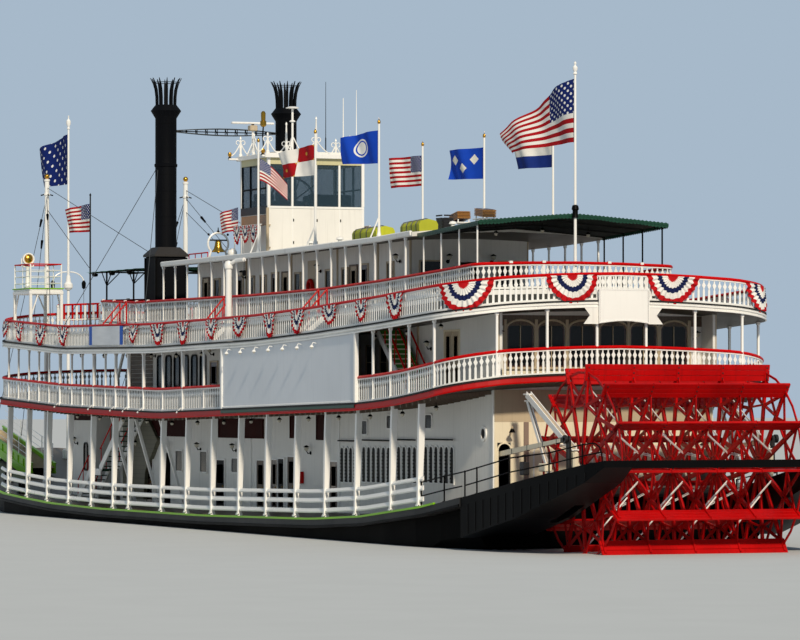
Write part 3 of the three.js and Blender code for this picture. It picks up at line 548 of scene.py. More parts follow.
def walk(path, spacing, first=0.0):
    """Points at a spacing along a path: [(point, outward, heading in radians)]."""
    places, due, travelled = [], first, 0.0
    for (a, out_a), (b, out_b) in zip(path, path[1:]):
        length = (b - a).length
        while length and travelled + length >= due:
            share = (due - travelled) / length
            out = out_a.lerp(out_b, share).normalized()
            places.append((a.lerp(b, share), out, atan2(out.y, out.x)))
            due += spacing
        travelled += length
    return places


def spun(point, heading):
    """Places a shape at a point, turned about the vertical."""
    return Matrix.Translation(point) @ Matrix.Rotation(heading, 4, "Z")


def foot_of(box):
    """The height of the underside of a CAD node's box."""
    return (box[0][2] - WATER) / SCALE


def square(half_x, half_y, z, x=0.0, y=0.0):
    """A level ring of four points round a place."""
    return [(x + a * half_x, y + b * half_y, z) for a, b in ((-1, -1), (1, -1), (1, 1), (-1, 1))]


# Balustrades of the boiler and hurricane decks
def baluster():
    """A sawn baluster: a wide shaft, a neck and a lozenge."""
    one = Piece("baluster")
    sections = [(0.044, 0.1), (0.044, 0.52), (0.02, 0.6), (0.082, 0.73), (0.02, 0.85), (0.04, 0.96)]
    one.loft([square(0.012, wide, z) for wide, z in sections], TRIM)
    return one.mesh()


BALUSTER = baluster()


def balustrade(piece, path, rail):
    handrail = [(-0.09, 0.98), (0.06, 0.98), (0.075, 1.03), (0.03, 1.09), (-0.05, 1.09), (-0.1, 1.03)]
    piece.strip(path, handrail, rail)
    piece.strip(path, [(-0.06, 0.04), (0.06, 0.04), (0.06, 0.12), (-0.06, 0.12)], TRIM)
    piece.strip(path, [(-0.04, 0.93), (0.04, 0.93), (0.04, 0.98), (-0.04, 0.98)], TRIM)
    piece.stamp(BALUSTER, [spun(point, heading) for point, _, heading in walk(path, 0.225, 0.11)])


def newel(piece, point, heading, height, wide=0.042):
    """A square post with a moulded foot and cap."""
    foot = wide + 0.02
    sections = [(foot, 0.0), (foot, 0.14), (wide, 0.18)]
    sections += [(wide, height - 0.12), (foot, height - 0.1), (foot, height)]
    place = spun(point, heading)
    piece.loft([[place @ Vector(p) for p in square(w, w, z)] for w, z in sections], TRIM)


# Each deck's plan: after end, fore end, half breadth, radius of its corners
BOILER_PLAN = (4.2, 63.6, 7.0, 2.4)
HURRICANE_PLAN = (4.2, 63.2, 7.0, 2.4)
TEXAS_PLAN = (8.3, 54.5, 4.4, 0.6)
RAIL_INSET = 0.145
BOILER_EDGE = deck_edge(BOILER, *BOILER_PLAN, RAIL_INSET)
HURRICANE_EDGE = deck_edge(HURRICANE, *HURRICANE_PLAN, RAIL_INSET)
# Where the posts between these decks stand along the side: u in metres
SIDE_POSTS = [6.4, 8.9, 10.8, 12.6, 14.3, 17.6, 20.9, 24.2, 27.5, 29.6, 32.2, 34.9, 37.6, 40.2, 42.3,
              44.1, 45.6, 47.3, 49.0, 50.6, 52.4, 54.1, 55.7, 57.3, 59.0, 60.6]
# The ones that are thicker and have a foot brace
BRACED_POSTS = (34.9, 40.2, 42.3, 44.1, 47.3, 52.4)
END_POSTS = [(4.34, 1.03), (4.34, 3.1), (4.4, 5.15), (63.0, 1.6), (63.0, 3.4)]


@build("boiler_deck_balustrade", "boiler_deck_railing", both=True)
def boiler_deck_rail(piece):
    balustrade(piece, BOILER_EDGE, RED)
    for u in SIDE_POSTS:
        point, _ = on_deck(BOILER, u, 6.86, 0, 1)
        thick = u in BRACED_POSTS
        newel(piece, point, pi / 2, HURRICANE.under(u, 6.8) - point.z, 0.06 if thick else 0.042)
        if thick:
            top, toe = point + Vector((0.06, 0.06, 0.14)), point + Vector((0.3, 0.2, -0.06))
            piece.bar(top, toe, 0.06, 0.06, TRIM)
    for u, y in END_POSTS:
        point, _ = on_deck(BOILER, u, y, -1, 0)
        newel(piece, point, 0, HURRICANE.under(min(u, 62.9), y) - point.z)


@build("hurricane_deck_balustrade", "hurricane_deck_railing", both=True)
def hurricane_deck_rail(piece):
    balustrade(piece, HURRICANE_EDGE, RED)


@build("deck_edge_mouldings", both=True)
def fascias(piece):
    """Mouldings along the edges of the two main passenger decks and the texas deck."""
    red_edge = deck_edge(BOILER, *BOILER_PLAN, 0.0)
    piece.strip(red_edge, [(0.0, -0.02), (0.05, -0.02), (0.05, 0.05), (-0.1, 0.05), (-0.1, 0.0)], DARK)
    piece.strip(red_edge, [(0.0, -0.27), (0.035, -0.25), (0.035, -0.21), (0.0, -0.2)], RED)
    white_edge = deck_edge(HURRICANE, *HURRICANE_PLAN, 0.0)
    for low in (-0.26, -0.13):
        band = [(0.0, low), (0.045, low + 0.01), (0.045, low + 0.05), (0.0, low + 0.06)]
        piece.strip(white_edge, band, TRIM)
    piece.strip(white_edge, [(0.0, -0.03), (0.04, -0.02), (0.04, 0.03), (-0.08, 0.03), (-0.08, 0.0)], DARK)
    texas_edge = deck_edge(TEXAS, *TEXAS_PLAN, 0.0)
    piece.strip(texas_edge, [(0.0, -0.2), (0.05, -0.18), (0.05, -0.02), (0.0, 0.0)], TRIM)


# Wheel: five frames of arms, the boards they carry, and the shaft with its cranks
ARMS = 13
FIRST_ARM = 99
AXLE = Vector((0, 0, 3.19))
FRAME_Y = [-3.65, -1.825, 0.0, 1.825, 3.65]


def on_arm(i, y=0.0):
    """Places local Z along an arm, local Y along the axle and local X across the arm."""
    a = radians(FIRST_ARM + i * 360 / ARMS)
    turn = Matrix(((sin(a), 0, -cos(a)), (0, 1, 0), (cos(a), 0, sin(a)))).transposed().to_4x4()
    return Matrix.Translation(AXLE + Vector((0, y, 0))) @ turn


def wheel_frame(number, y):
    piece = Piece(f"wheel_arms_{number}", "paddle_wheel")
    arm = Piece("arm")
    arm.loft([square(w, 0.045, r) for w, r in ((0.09, 0.28), (0.085, 1.6), (0.075, 3.19))], WHEEL_RED)
    arm.box((0.045, -0.045, 3.05), (0.1, 0.045, 3.74), WHEEL_RED, 0.01)
    for r in (2.32, 3.0):
        for side in (-1, 1):
            arm.bolt((0, side * 0.045, r), 0.035, 0.03, 0.045, (0, side, 0))
    step = 2 * pi / ARMS
    for low, high, side in ((2.25, 3.3, 0.02), (3.3, 2.25, -0.02)):
        a = Vector((0, side, low))
        b = Vector((-sin(step) * high, side, cos(step) * high))
        arm.bar(a, b, 0.035, 0.13, WHEEL_RED)
    inner = [Vector((-sin(step * i) * 2.3, 0, cos(step * i) * 2.3)) for i in (0, 1)]
    arm.bar(inner[0], inner[1], 0.1, 0.07, WHEEL_RED)
    piece.stamp(arm.mesh(), [on_arm(i, y) for i in range(ARMS)])
    hub = [(0.152, -0.09), (0.3, -0.09), (0.4, -0.06), (0.4, 0.06), (0.3, 0.09), (0.152, 0.09)]
    piece.turned(hub + hub[:1], AXLE + Vector((0, y, 0)), WHEEL_RED, 26, (0, 1, 0))
    for i in range(ARMS):
        place = on_arm(i + 0.5, y)
        for side in (-1, 1):
            piece.bolt(place @ Vector((0, side * 0.075, 0.34)), 0.03, 0.025, 0.04, (0, side, 0))
    piece.done([f"wheel_frame_{number}"], "red_paint")


for number, y in enumerate(FRAME_Y, 1):
    wheel_frame(number, y)


@build("paddle_planks", "paddle_boards", slot="red_paint", body="paddle_wheel")
def paddle_boards(piece):
    board, tip = Piece("board"), 3.78
    for low, high in ((3.19, 3.39), (3.4, 3.6), (3.61, 3.81)):
        for y0, y1 in zip(FRAME_Y[:-1], FRAME_Y[1:]):
            first = -tip if y0 == FRAME_Y[0] else y0 + 0.01
            last = tip if y1 == FRAME_Y[-1] else y1 - 0.01
            board.box((-0.045, first, low), (0.045, last, high), WHEEL_RED, 0.012)
    for y in FRAME_Y:
        board.box((-0.062, y - 0.07, 3.22), (-0.045, y + 0.07, 3.78), WHEEL_RED, 0.005)
        for z in (3.3, 3.5, 3.7):
            board.bolt((-0.062, y, z), 0.03, 0.02, 0.035, (-1, 0, 0))
    piece.stamp(board.mesh(), [on_arm(i) for i in range(ARMS)])
    for y in (FRAME_Y[0], FRAME_Y[-1]):
        ring = [on_arm(i / 2, y) @ Vector((0, 0, 3.48)) for i in range(2 * ARMS + 1)]
        for a, b in zip(ring, ring[1:]):
            piece.bar(a, b, 0.05, 0.08, WHEEL_RED)


@build("wheel_tie_rods", body="paddle_wheel")
def wheel_ties(piece):
    """White tie rods in pairs, slanting from each frame to the next at every second arm."""
    for i in range(0, ARMS, 2):
        for y0, y1 in zip(FRAME_Y, FRAME_Y[1:]):
            place = on_arm(i)
            for side in (-0.03, 0.03):
                low, high = Vector((side, y0 + 0.03, 1.15)), Vector((side, y1 - 0.03, 3.0))
                piece.rod(place @ low, place @ high, 0.02, TRIM, 6)


@build("wheel_axle", "wheel_shaft", slot="engine_iron", body="paddle_wheel")
def wheel_shaft(piece):
    half = [(0.15, 3.8), (0.14, 3.82), (0.14, 4.16), (0.13, 4.2), (0, 4.2)]
    piece.turned([(r, -y) for r, y in half[::-1]] + half, AXLE, IRON, 24, (0, 1, 0))
    for side in (-1, 1):
        y = 4.15 * side
        place = facing(0, y, AXLE.z, (0, side, 0))
        piece.plate(rounded(0.28, 1.3, 0.13, -0.17), 0.08, IRON, place, 0.03, 0.015)
        piece.turned([(0, 0), (0.08, 0), (0.08, 0.11), (0.07, 0.12), (0, 0.12)],
                     AXLE + Vector((0, y, 1.0)), IRON, 16, (0, side, 0))


# Main deck: guard posts, edge line, pipe rails, the wheel's bearings and its timbers' stiffeners
MAIN_PLAN = [(4.3, 6.72), (8.0, 7.0), (58.0, 7.0), (62.0, 6.88), (66.0, 6.28), (70.0, 5.0), (73.0, 3.4),
             (75.0, 1.9), (76.0, 0.7)]
TIMBER = Surface("wheel_timber_port")


def line_at(table, u):
    """A value read off a line of (u, value) points."""
    for (u0, y0), (u1, y1) in zip(table, table[1:]):
        if u <= u1:
            return y0 + (y1 - y0) * (u - u0) / (u1 - u0)
    return table[-1][1]


def main_edge(first, last, inset, gap=1.2):
    """A run along the main deck's port edge: [(point, outward)]."""
    count = round((last - first) / gap)
    run = []
    for i in range(count + 1):
        u = first + (last - first) * i / count
        slope = (line_at(MAIN_PLAN, u + 0.3) - line_at(MAIN_PLAN, u - 0.3)) / 0.6
        out = Vector((-slope, 1, 0)).normalized()
        y = line_at(MAIN_PLAN, u)
        z = MAIN.top(u, y - 0.1)
        run.append((Vector((u, y, z)) - out * inset, out))
    return run


GUARD_POSTS = [8.1, 10.9, 14.6, 17.95, 21.3, 24.7, 28.0, 31.4, 34.7, 38.0, 42.5, 44.7, 47.9, 51.3, 54.6,
               57.8, 61.2]


@build("guard_posts_and_boards", "guard_stanchions", both=True)
def guard_posts(piece):
    # Half breadths at shares of a post's height
    shares = ((0, 0.12, 0.13), (0.025, 0.11, 0.12), (0.045, 0.07, 0.085), (0.6, 0.09, 0.12),
              (0.97, 0.08, 0.12), (1, 0.1, 0.14))
    for u in GUARD_POSTS:
        y = line_at(MAIN_PLAN, u) - 0.22
        foot, head = MAIN.top(u, y), BOILER.under(u, y - 0.1)
        piece.loft([square(wide, deep, foot + (head - foot) * share, u, y - 0.12 * share)
                    for share, wide, deep in shares], TRIM)
        piece.bar((u, y + 0.04, foot + 0.12), (u, y + 0.19, foot + 0.02), 0.24, 0.03, GREEN)
    run = main_edge(7.7, 62.9, 0.22)
    for low, high in ((0.25, 0.44), (0.67, 0.86), (1.05, 1.21)):
        board = [(-0.03, low), (0.03, low), (0.045, low + 0.05), (-0.012, high), (-0.03, high)]
        piece.strip(run, board, TRIM)


@build("main_deck_edge_line", slot="green_paint", both=True)
def main_deck_edge(piece):
    line = [(-0.02, -0.02), (0.045, -0.02), (0.045, 0.06), (-0.06, 0.06), (-0.06, 0.0)]
    piece.strip(main_edge(6.4, 75.6, 0.0), line, LIME)
    rubbing_strake = [(-0.02, -0.36), (0.05, -0.34), (0.05, -0.26), (-0.02, -0.24)]
    piece.strip(main_edge(4.32, 75.6, 0.0), rubbing_strake, BLACK)


def pipe_rail(name, stations, tail, replaces):
    """Black pipe rail from foot to foot; `tail` ends it at (share of the way to the last place, height)."""
    piece = Piece(name)
    feet = [Vector((u, y, TIMBER.top(u, y - 0.1) or MAIN.top(u, y - 0.1))) for u, y in stations]
    tops = [0.97 if foot.x > 0 else 0.76 for foot in feet]
    for foot, tall in zip(feet[:-1], tops):
        piece.rod(foot, foot + UP * tall, 0.032, BLACK)
        piece.turned([(0, 0), (0.08, 0), (0.08, 0.02), (0.04, 0.035), (0, 0.035)], foot, BLACK, 10)
        piece.ball(foot + UP * tall, 0.042, BLACK)
    for share in (0.46, 1.0):
        rail = [foot + UP * tall * share for foot, tall in zip(feet[:-1], tops)]
        end = tail if share == 1.0 else ((0.86, tops[-1] * share),)
        rail += [feet[-2].lerp(feet[-1], share) + UP * height for share, height in end]
        piece.rods(rail, 0.027, BLACK)
    piece.done(replaces, "black_pipe", both=True)


pipe_rail("guard_pipe_rail", [(8.0, 6.72), (5.9, 6.66), (4.22, 6.54)], ((1, 0.97),), [])
pipe_rail("fantail_pipe_rail",
          [(4.2, 6.54), (3.3, 6.44), (0.9, 6.18), (-1.6, 5.7), (-3.6, 5.28), (-4.7, 4.96)],
          ((0.4, 0.74), (0.64, 0.68), (0.81, 0.54), (0.9, 0.33), (0.93, 0.0)), ["pipe_rail"])


@build("wheel_bearing_cap", slot="engine_iron", both=True)
def bearing(piece):
    """Pillow block with its cap and bolts, and oil boxes beside it."""
    shell = [(0.16, 0), (0.27, 0), (0.27, 0.2), (0.16, 0.2), (0.16, 0)]
    piece.turned(shell, (0, 3.87, AXLE.z), CREAM, 24, (0, 1, 0))
    piece.box((-0.29, 3.88, TIMBER.top(0.5, 4.0) - 0.1), (0.29, 4.12, 3.75), CREAM, 0.06)
    for u in (-0.2, 0.2):
        for y in (3.96, 4.04):
            piece.rod((u, y, 3.5), (u, y, 3.79), 0.02, IRON, 6)
            piece.bolt((u, y, 3.735), 0.04, 0.05, 0.06)
    piece.box((0.55, 4.6, 3.0), (1.15, 4.9, 3.3), CREAM, 0.03)
    piece.box((1.7, 5.0, 2.85), (2.1, 5.25, 3.35), IRON, 0.03)
    piece.rods([(1.9, 5.1, 3.35), (1.9, 5.1, 3.6), (2.6, 5.1, 3.5)], 0.03, BLACK)


@build("timber_stiffeners", slot="black_pipe", both=True)
def fantail_ribs(piece):
    """Stiffeners on the outer faces of the timbers that carry the wheel."""
    for i in range(16):
        u = -4.5 + i * 0.55
        top, low = TIMBER.top(u, 4.8), TIMBER.under(u, 4.8)
        outside = TO_FRAME @ Vector((u, 9, (top + low) / 2))
        y = TIMBER.tree.ray_cast(outside, Vector((0, -1, 0)))[0].y / SCALE
        piece.box((u - 0.03, y - 0.06, low + 0.06), (u + 0.03, y + 0.02, top - 0.3), BLACK, 0.01)


# Walls: windows, doors, louvres and lamps on the houses' faces
def sash(piece, place, width, height, frame, pane, radius=0.04, bars=0, thick=0.05, border=0.06):
    """A window standing on its sill: a frame, a sunk pane and level glazing bars."""
    piece.plate(rounded(width + 2 * border, height + 2 * border, radius, -border, 3), thick, frame, place,
                border, thick - 0.015, pane)
    for i in range(1, bars + 1):
        z = height * i / (bars + 1)
        piece.box((-width / 2, z - 0.015, 0.01), (width / 2, z + 0.015, 0.045), frame, 0, place)


def louvre(piece, place, width, height, frame, slat, gap=0.14):
    """An arched frame with sloping slats."""
    # The sunk face behind the slats is near black: painted shade of the dark inside
    piece.plate(arched(width + 0.1, height + 0.05, width / 2), 0.05, frame, place, 0.05, 0.035, DARK)
    z = 0.08
    while z < height - width / 2:
        piece.box((-width / 2, z, 0.015), (width / 2, z + 0.05, 0.04), slat, 0, place)
        z += gap


def door(piece, place, width, height, frame, leaf, light=False):
    """A door leaf in its frame, with two panels, a handle and perhaps a pane in its upper half."""
    half = width / 2
    piece.plate(oblong(-half - 0.07, half + 0.07, 0, height + 0.07), 0.06, frame, place, 0.07, 0.03, leaf)
    for low, high in ((0.15, height * 0.42), (height * 0.5, height - 0.15)):
        inside = GLASS if light and low > 0.2 else leaf
        piece.plate(oblong(0.12 - half, half - 0.12, low, high), 0.05, leaf, place, 0.04, 0.02, inside)
    piece.ball(place @ Vector((half - 0.1, height * 0.46, 0.08)), 0.035, BRASS, 8)


def wall_lamp(piece, place, size=0.13):
    """A bracket lamp: back plate, arm, cap and opal globe."""
    foot, *arm, globe, cap = (place @ Vector(p) for p in (
        (0, -0.1, 0), (0, -0.1, 0.03), (0, -0.12, 0.14), (0, 0.0, 0.2), (0, 0.08, 0.2), (0, 0.16, 0.2)))
    back = [(0, 0), (0.08, 0), (0.08, 0.02), (0.03, 0.05), (0, 0.05)]
    piece.turned(back, foot, BLACK, 10, place.to_3x3() @ UP)
    piece.rods(arm, 0.02, BLACK, 6)
    piece.ball(globe, size * 0.75, OPAL, 12)
    piece.turned([(0, 0.07), (0.05, 0.05), (size, 0), (size, -0.02), (0, 0)], cap, BLACK, 12)


def port_side(u, y, z):
    return facing(u, y, z, (0, 1, 0))


def after_face(u, y, z):
    return facing(u, y, z, (-1, 0, 0))


def fore_face(u, y, z):
    return facing(u, y, z, (1, 0, 0))


# Port sides of the main house and of the cabin
HOUSE_SIDE, CABIN_SIDE = 4.6, 4.56
# Along the main house's side: after u, forward u, sill and head; of a door, the head alone
HOUSE_LOUVRES = [(9.7, 12.84, 2.34, 3.81), (13.45, 15.65, 2.3, 3.77), (16.2, 19.4, 2.25, 3.72),
                 (19.85, 21.8, 2.2, 3.67)]
HOUSE_WINDOWS = [(12.0, 12.67, 4.53, 5.04), (16.0, 16.65, 4.5, 5.0), (18.8, 19.4, 4.24, 4.77),
                 (33.9, 34.8, 2.45, 3.05), (38.0, 38.9, 2.4, 3.3), (41.3, 42.2, 2.4, 3.3),
                 (48.0, 48.6, 2.2, 3.5)]
HOUSE_DOORS = [(22.05, 22.9, 3.06), (27.0, 27.85, 3.2), (28.3, 29.0, 3.1), (29.1, 29.8, 3.05),
               (30.7, 31.6, 3.0), (35.7, 36.8, 2.95), (45.4, 46.3, 3.0)]
HOUSE_PANELS = [(23.4, 24.4, 3.95, 5.0), (26.6, 27.5, 4.0, 5.0), (30.8, 33.4, 3.95, 4.8),
                (33.7, 36.4, 3.95, 4.8), (40.7, 43.5, 3.95, 4.8), (43.8, 46.6, 3.95, 4.8)]


def corner_posts(piece, stations, y, half, deck, over):
    """Buff boards up the joints of a house's side."""
    for u in stations:
        low, high = deck.top(u, y + 0.1), over.under(u, y)
        piece.box((u - half, y - 0.02, low), (u + half, y + 0.05, high), BUFF, 0.01)


@build("main_house_fittings", both=True)
def main_house_fittings(piece):
    y = HOUSE_SIDE
    for aft, fore, low, high in HOUSE_LOUVRES:
        count = round((fore - aft) / 0.5)
        for i in range(count):
            u = aft + (fore - aft) * (i + 0.5) / count
            louvre(piece, port_side(u, y, low), 0.36, high - low, TRIM, BLACK)
        piece.rod((aft, y + 0.12, high + 0.28), (fore, y + 0.12, high + 0.28), 0.03, BLACK)
    for aft, fore, low, high in HOUSE_WINDOWS:
        sash(piece, port_side((aft + fore) / 2, y, low), fore - aft, high - low, TRIM, GLASS, 0.12)
    for count, (aft, fore, head) in enumerate(HOUSE_DOORS):
        u = (aft + fore) / 2
        sill = MAIN.top(u, y + 0.1) + 0.05
        # Leaves in turn: mahogany, and the umber and near black that are painted shade
        leaf = (MAHOGANY, SHADE, DARK)[count % 3]
        door(piece, port_side(u, y, sill), fore - aft, head - sill, TRIM, leaf, True)
    for aft, fore, low, high in HOUSE_PANELS:
        panel = oblong((aft - fore) / 2, (fore - aft) / 2, 0, high - low)
        piece.plate(panel, 0.09, MAROON, port_side((aft + fore) / 2, y, low), 0.07, 0.03)
    for u in (34.3, 38.9, 43.2, 47.3, 25.2):
        wall_lamp(piece, port_side(u, y, 3.5))
    piece.box((26.0, y, 2.1), (26.35, y + 0.14, 2.6), RED, 0.02)
    porthole = (6.9, y, 4.35)
    piece.turned([(0.2, 0), (0.3, 0), (0.3, 0.05), (0.2, 0.05), (0.2, 0)], porthole, TRIM, 20, (0, 1, 0))
    # Its near black glass is painted shade of the room inside
    piece.turned([(0, 0.02), (0.2, 0.02), (0.2, 0.0)], porthole, DARK, 20, (0, 1, 0))
    for u in (5.96, 21.9, 32.4, 49.94):
        piece.post(u, y, 0.06, 0.05, MAIN.top(u, y + 0.1), BOILER.under(u, y), TRIM, 0.01)


@build("guard_ceiling_beams", both=True)
def deck_beams(piece):
    """Beams under the boiler deck's guards, and the sloping struts beside the house."""
    for i in range(92):
        u = 6.2 + i * 0.6
        inner, outer = (BOILER.under(u, y) for y in (4.7, 6.6))
        # The beams are umber: painted shade under the deck
        piece.bar((u, 4.62, inner - 0.07), (u, 6.86, outer - 0.08), 0.09, 0.14, SHADE)
    for u in (39.6, 43.0, 46.4):
        piece.bar((u, 5.1, MAIN.top(u, 5.1)), (u, 6.3, BOILER.under(u, 6.3) - 0.12), 0.12, 0.12, TRIM)


@build("forward_stair", both=True)
def forward_stair(piece):
    """Stair with a landing from the main deck to the boiler deck, and the boards behind it."""
    landing = 2.36
    piece.box((49.6, 4.85, landing - 0.08), (51.0, 5.75, landing), GREEN)
    piece.box((49.6, 5.72, landing - 0.3), (51.0, 5.78, landing + 0.02), TRIM, 0.01)
    for u0, z0, u1, z1, count in ((49.7, landing, 46.0, BOILER.under(46.0, 5.3) - 0.1, 11),
                                  (53.1, MAIN.top(53.1, 5.3), 51.0, landing, 7)):
        low, high = Vector((u0, 0, z0)), Vector((u1, 0, z1))
        for y in (4.85, 5.75):
            at = Vector((0, y, 0))
            piece.bar(low + at, high + at, 0.06, 0.34, TRIM)
            piece.rods([low + at + UP * 0.95, low.lerp(high, 0.82) + at + UP * 0.9], 0.03, RED)
            for share in (0.04, 0.4, 0.76):
                foot = low.lerp(high, share) + at
                piece.rod(foot, foot + UP * 0.92, 0.022, RED, 6)
        for i in range(count):
            step = low.lerp(high, (i + 0.5) / count)
            piece.box((step.x - 0.15, 4.88, step.z - 0.02), (step.x + 0.15, 5.72, step.z + 0.03), GREEN)
    side = [(49.2, 4.85), (45.8, 4.85), (44.3, 3.78), (46.0, 2.3), (46.2, 1.0), (49.2, 1.0)]
    piece.loft([[(u, y, z) for u, z in side] for y in (4.6, 4.8)], OLIVE)


@build("fore_deck_locker", both=True)
def fore_house(piece):
    """Small white lockers on both sides of the open fore deck, under the boiler deck."""
    low, high = MAIN.top(55.8, 4.5) - 0.02, BOILER.under(55.8, 4.5) - 0.02
    piece.box((54.3, 3.1, low), (57.4, 4.6, high), WHITE, 0.03)
    sash(piece, port_side(55.3, 4.6, 2.25), 0.5, 1.25, BLACK, GLASS, 0.2)
    wall_lamp(piece, port_side(56.6, 4.6, 3.6))
    door(piece, fore_face(57.4, 3.85, low + 0.05), 0.7, 1.9, TRIM, MAHOGANY)
    piece.box((54.3, 4.6, high - 0.75), (57.4, 4.66, high), MAROON, 0.01)


@build("main_house_after_face")
def after_wall(piece):
    """The main house's after face: cream boards, a buff band over them that is painted shade from the deck
    above, an arcade and engine doorways.
    """
    x, half, band = 5.9, HOUSE_SIDE, 4.8
    boards = ((4.49, half, MAIN.top(6.0, 4.54)), (0.0, 3.91, MAIN.top(6.0, 0.05)), (3.91, 4.49, 4.02))
    for side in (-1, 1):
        for inner, outer, low in boards:
            y0, y1 = sorted((inner * side, outer * side))
            piece.box((x - 0.03, y0, low), (x, y1, band), CREAM)
        # Above the line at `band` the wall is buff: painted shade cast by the deck overhead
        y0, y1 = sorted((0, half * side))
        piece.box((x - 0.035, y0, band), (x, y1, BOILER.under(x, 4.5) - 0.01), BUFF)
        piece.box((x - 0.09, 3.3 * side - 0.1, MAIN.top(x, 3.3)), (x, 3.3 * side + 0.1, band), TAUPE, 0.015)
        arch = [Vector((x - 0.04, 4.2 * side + a, 3.1 + b)) for a, b in arched(0.56, 0.9, 0.28, 10)[2:]]
        for a, b in zip(arch, arch[1:]):
            piece.bar(a, b, 0.05, 0.05, CREAM)
        for y in (3.92, 4.48):
            piece.box((x - 0.06, y * side - 0.03, MAIN.top(x, 4.3)), (x, y * side + 0.03, 3.72), CREAM)
        lamp = after_face(x, 3.93 * side, 4.25)
        bracket = ((0, 0, 0), (0, 0.3, 0.1), (-0.05 * side, 0.36, 0.3), (-0.1 * side, 0.3, 0.42))
        piece.rods([lamp @ Vector(p) for p in bracket], 0.03, BUFF)
        shade = [(0, 0.1), (0.06, 0.08), (0.13, -0.05), (0, 0)]
        piece.turned(shade, lamp @ Vector((-0.12 * side, 0.2, 0.44)), BLACK, 12)
    foot = MAIN.top(6.0, 0)
    for i in range(7):
        place = after_face(x - 0.03, (i - 3) * 0.88, foot)
        piece.plate(arched(0.74, 3.98 - foot, 0.37), 0.05, TRIM, place, 0.05, 0.035, CREAM)


@build("cabin_fittings", both=True)
def saloon_fittings(piece):
    y = CABIN_SIDE
    for i in range(6):
        sash(piece, port_side(38.65 + i * 1.17, y, 6.18), 0.66, 1.42, BLACK, SEA_GLASS, 0.2, 0, 0.06, 0.07)
    for count, first, sill, height in ((4, 15.6, 6.5, 1.3), (10, 21.9, 6.2, 1.35)):
        for i in range(count):
            sash(piece, port_side(first + i * 1.5, y, sill), 0.7, height, BUFF, GLASS, 0.1, 1)
    for u in (12.2, 20.6, 37.3, 45.2):
        wall_lamp(piece, port_side(u, y, 7.75))
    door(piece, port_side(37.2, y, BOILER.top(37.2, y + 0.1) + 0.03), 0.9, 2.0, BUFF, MAHOGANY, True)
    sill = BOILER.top(10.0, y + 0.1) + 0.03
    for u in (9.7, 10.47):
        door(piece, port_side(u, y - 0.02, sill), 0.68, 8.3 - sill, CREAM, BUFF, True)
    corner_posts(piece, (5.56, 13.5, 29.0, 48.7), y, 0.06, BOILER, HURRICANE)


@build("cabin_after_windows")
def saloon_after_windows(piece):
    """Six arched windows in the cabin's recessed after wall, with buff architraves."""
    x, sill, head = 6.5, 6.9, HURRICANE.under(6.5, 4.4)
    frame, crown = arched(1.1, 1.75, 0.3, 10), arched(1.2, 1.8, 0.34, 10)
    # An umber band under the deck's edge: painted shade
    piece.box((x - 0.02, -4.44, head - 0.42), (x, 4.44, head - 0.02), SHADE)
    for i in range(6):
        y = 1.3 * i - 3.25
        piece.plate(frame, 0.03, MAHOGANY, after_face(x + 0.04, y, sill), 0.06, 0.015, GLASS)
        piece.rods([Vector((x - 0.03, y + a, sill + b)) for a, b in crown[1:] + crown[:1]], 0.045, BUFF, 6)
        piece.box((x - 0.12, y - 0.66, sill - 0.1), (x + 0.02, y + 0.66, sill), BUFF, 0.015)
        piece.box((x - 0.02, y - 0.015, sill), (x + 0.03, y + 0.015, 8.6), BUFF)
    for i in range(7):
        y = 1.3 * i - 3.9
        piece.box((x - 0.06, y - 0.06, BOILER.top(x - 0.1, y) + 0.01), (x, y + 0.06, 8.72), BUFF, 0.01)
    for y in (-4.15, 4.15):
        wall_lamp(piece, after_face(x, y, 8.1), 0.15)
    piece.box((x - 0.025, -4.42, BOILER.top(x, 0)), (x, 4.42, sill - 0.1), CREAM)


# Outside the cabin: name boards, stairs, the wheel's braces and the engines' rods
@build("name_board", "name_panel", both=True)
def name_boards(piece):
    """The long plain boards on the boiler deck's rail, each with seven lamps under its top edge."""
    aft, fore, y = 14.2, 29.6, 6.95
    run = [aft + (fore - aft) * i / 14 for i in range(15)]
    run = [(Vector((u, y, BOILER.top(u, 6.8))), Vector((0, 1, 0))) for u in run]
    piece.strip(run, [(-0.03, 0.03), (0.02, 0.03), (0.02, 2.4), (-0.03, 2.4)], PALE_BLUE)
    under = [(Vector((point.x, y, HURRICANE.under(point.x, 6.8))), out) for point, out in run]
    piece.strip(under, [(-0.03, -0.7), (0.017, -0.7), (0.017, -0.01), (-0.03, -0.01)], PALE_BLUE)
    piece.strip(run, [(0.02, 0.03), (0.06, 0.05), (0.06, 0.11), (0.02, 0.13)], TRIM)
    piece.strip(run, [(0.05, -0.17), (0.09, -0.15), (0.09, 0.02), (0.05, 0.03)], GREEN)
    for u in (aft, fore):
        z = BOILER.top(u, 6.8)
        piece.box((u - 0.09, 6.86, z + 0.02), (u + 0.09, 7.03, HURRICANE.under(u, 6.8)), TRIM, 0.015)
    for i in range(7):
        u = 28.4 - 1.67 * i
        z = BOILER.top(u, 6.8) + 2.34
        piece.rods([(u, y, z + 0.16), (u, y + 0.2, z + 0.2), (u, y + 0.26, z + 0.08)], 0.018, TRIM, 6)
        shade = [(0, 0.06), (0.05, 0.05), (0.1, -0.03), (0.09, -0.03), (0, 0.0)]
        piece.turned(shade, (u, y + 0.26, z + 0.04), TRIM, 12)
        piece.ball((u, y + 0.26, z), 0.06, OPAL, 8)


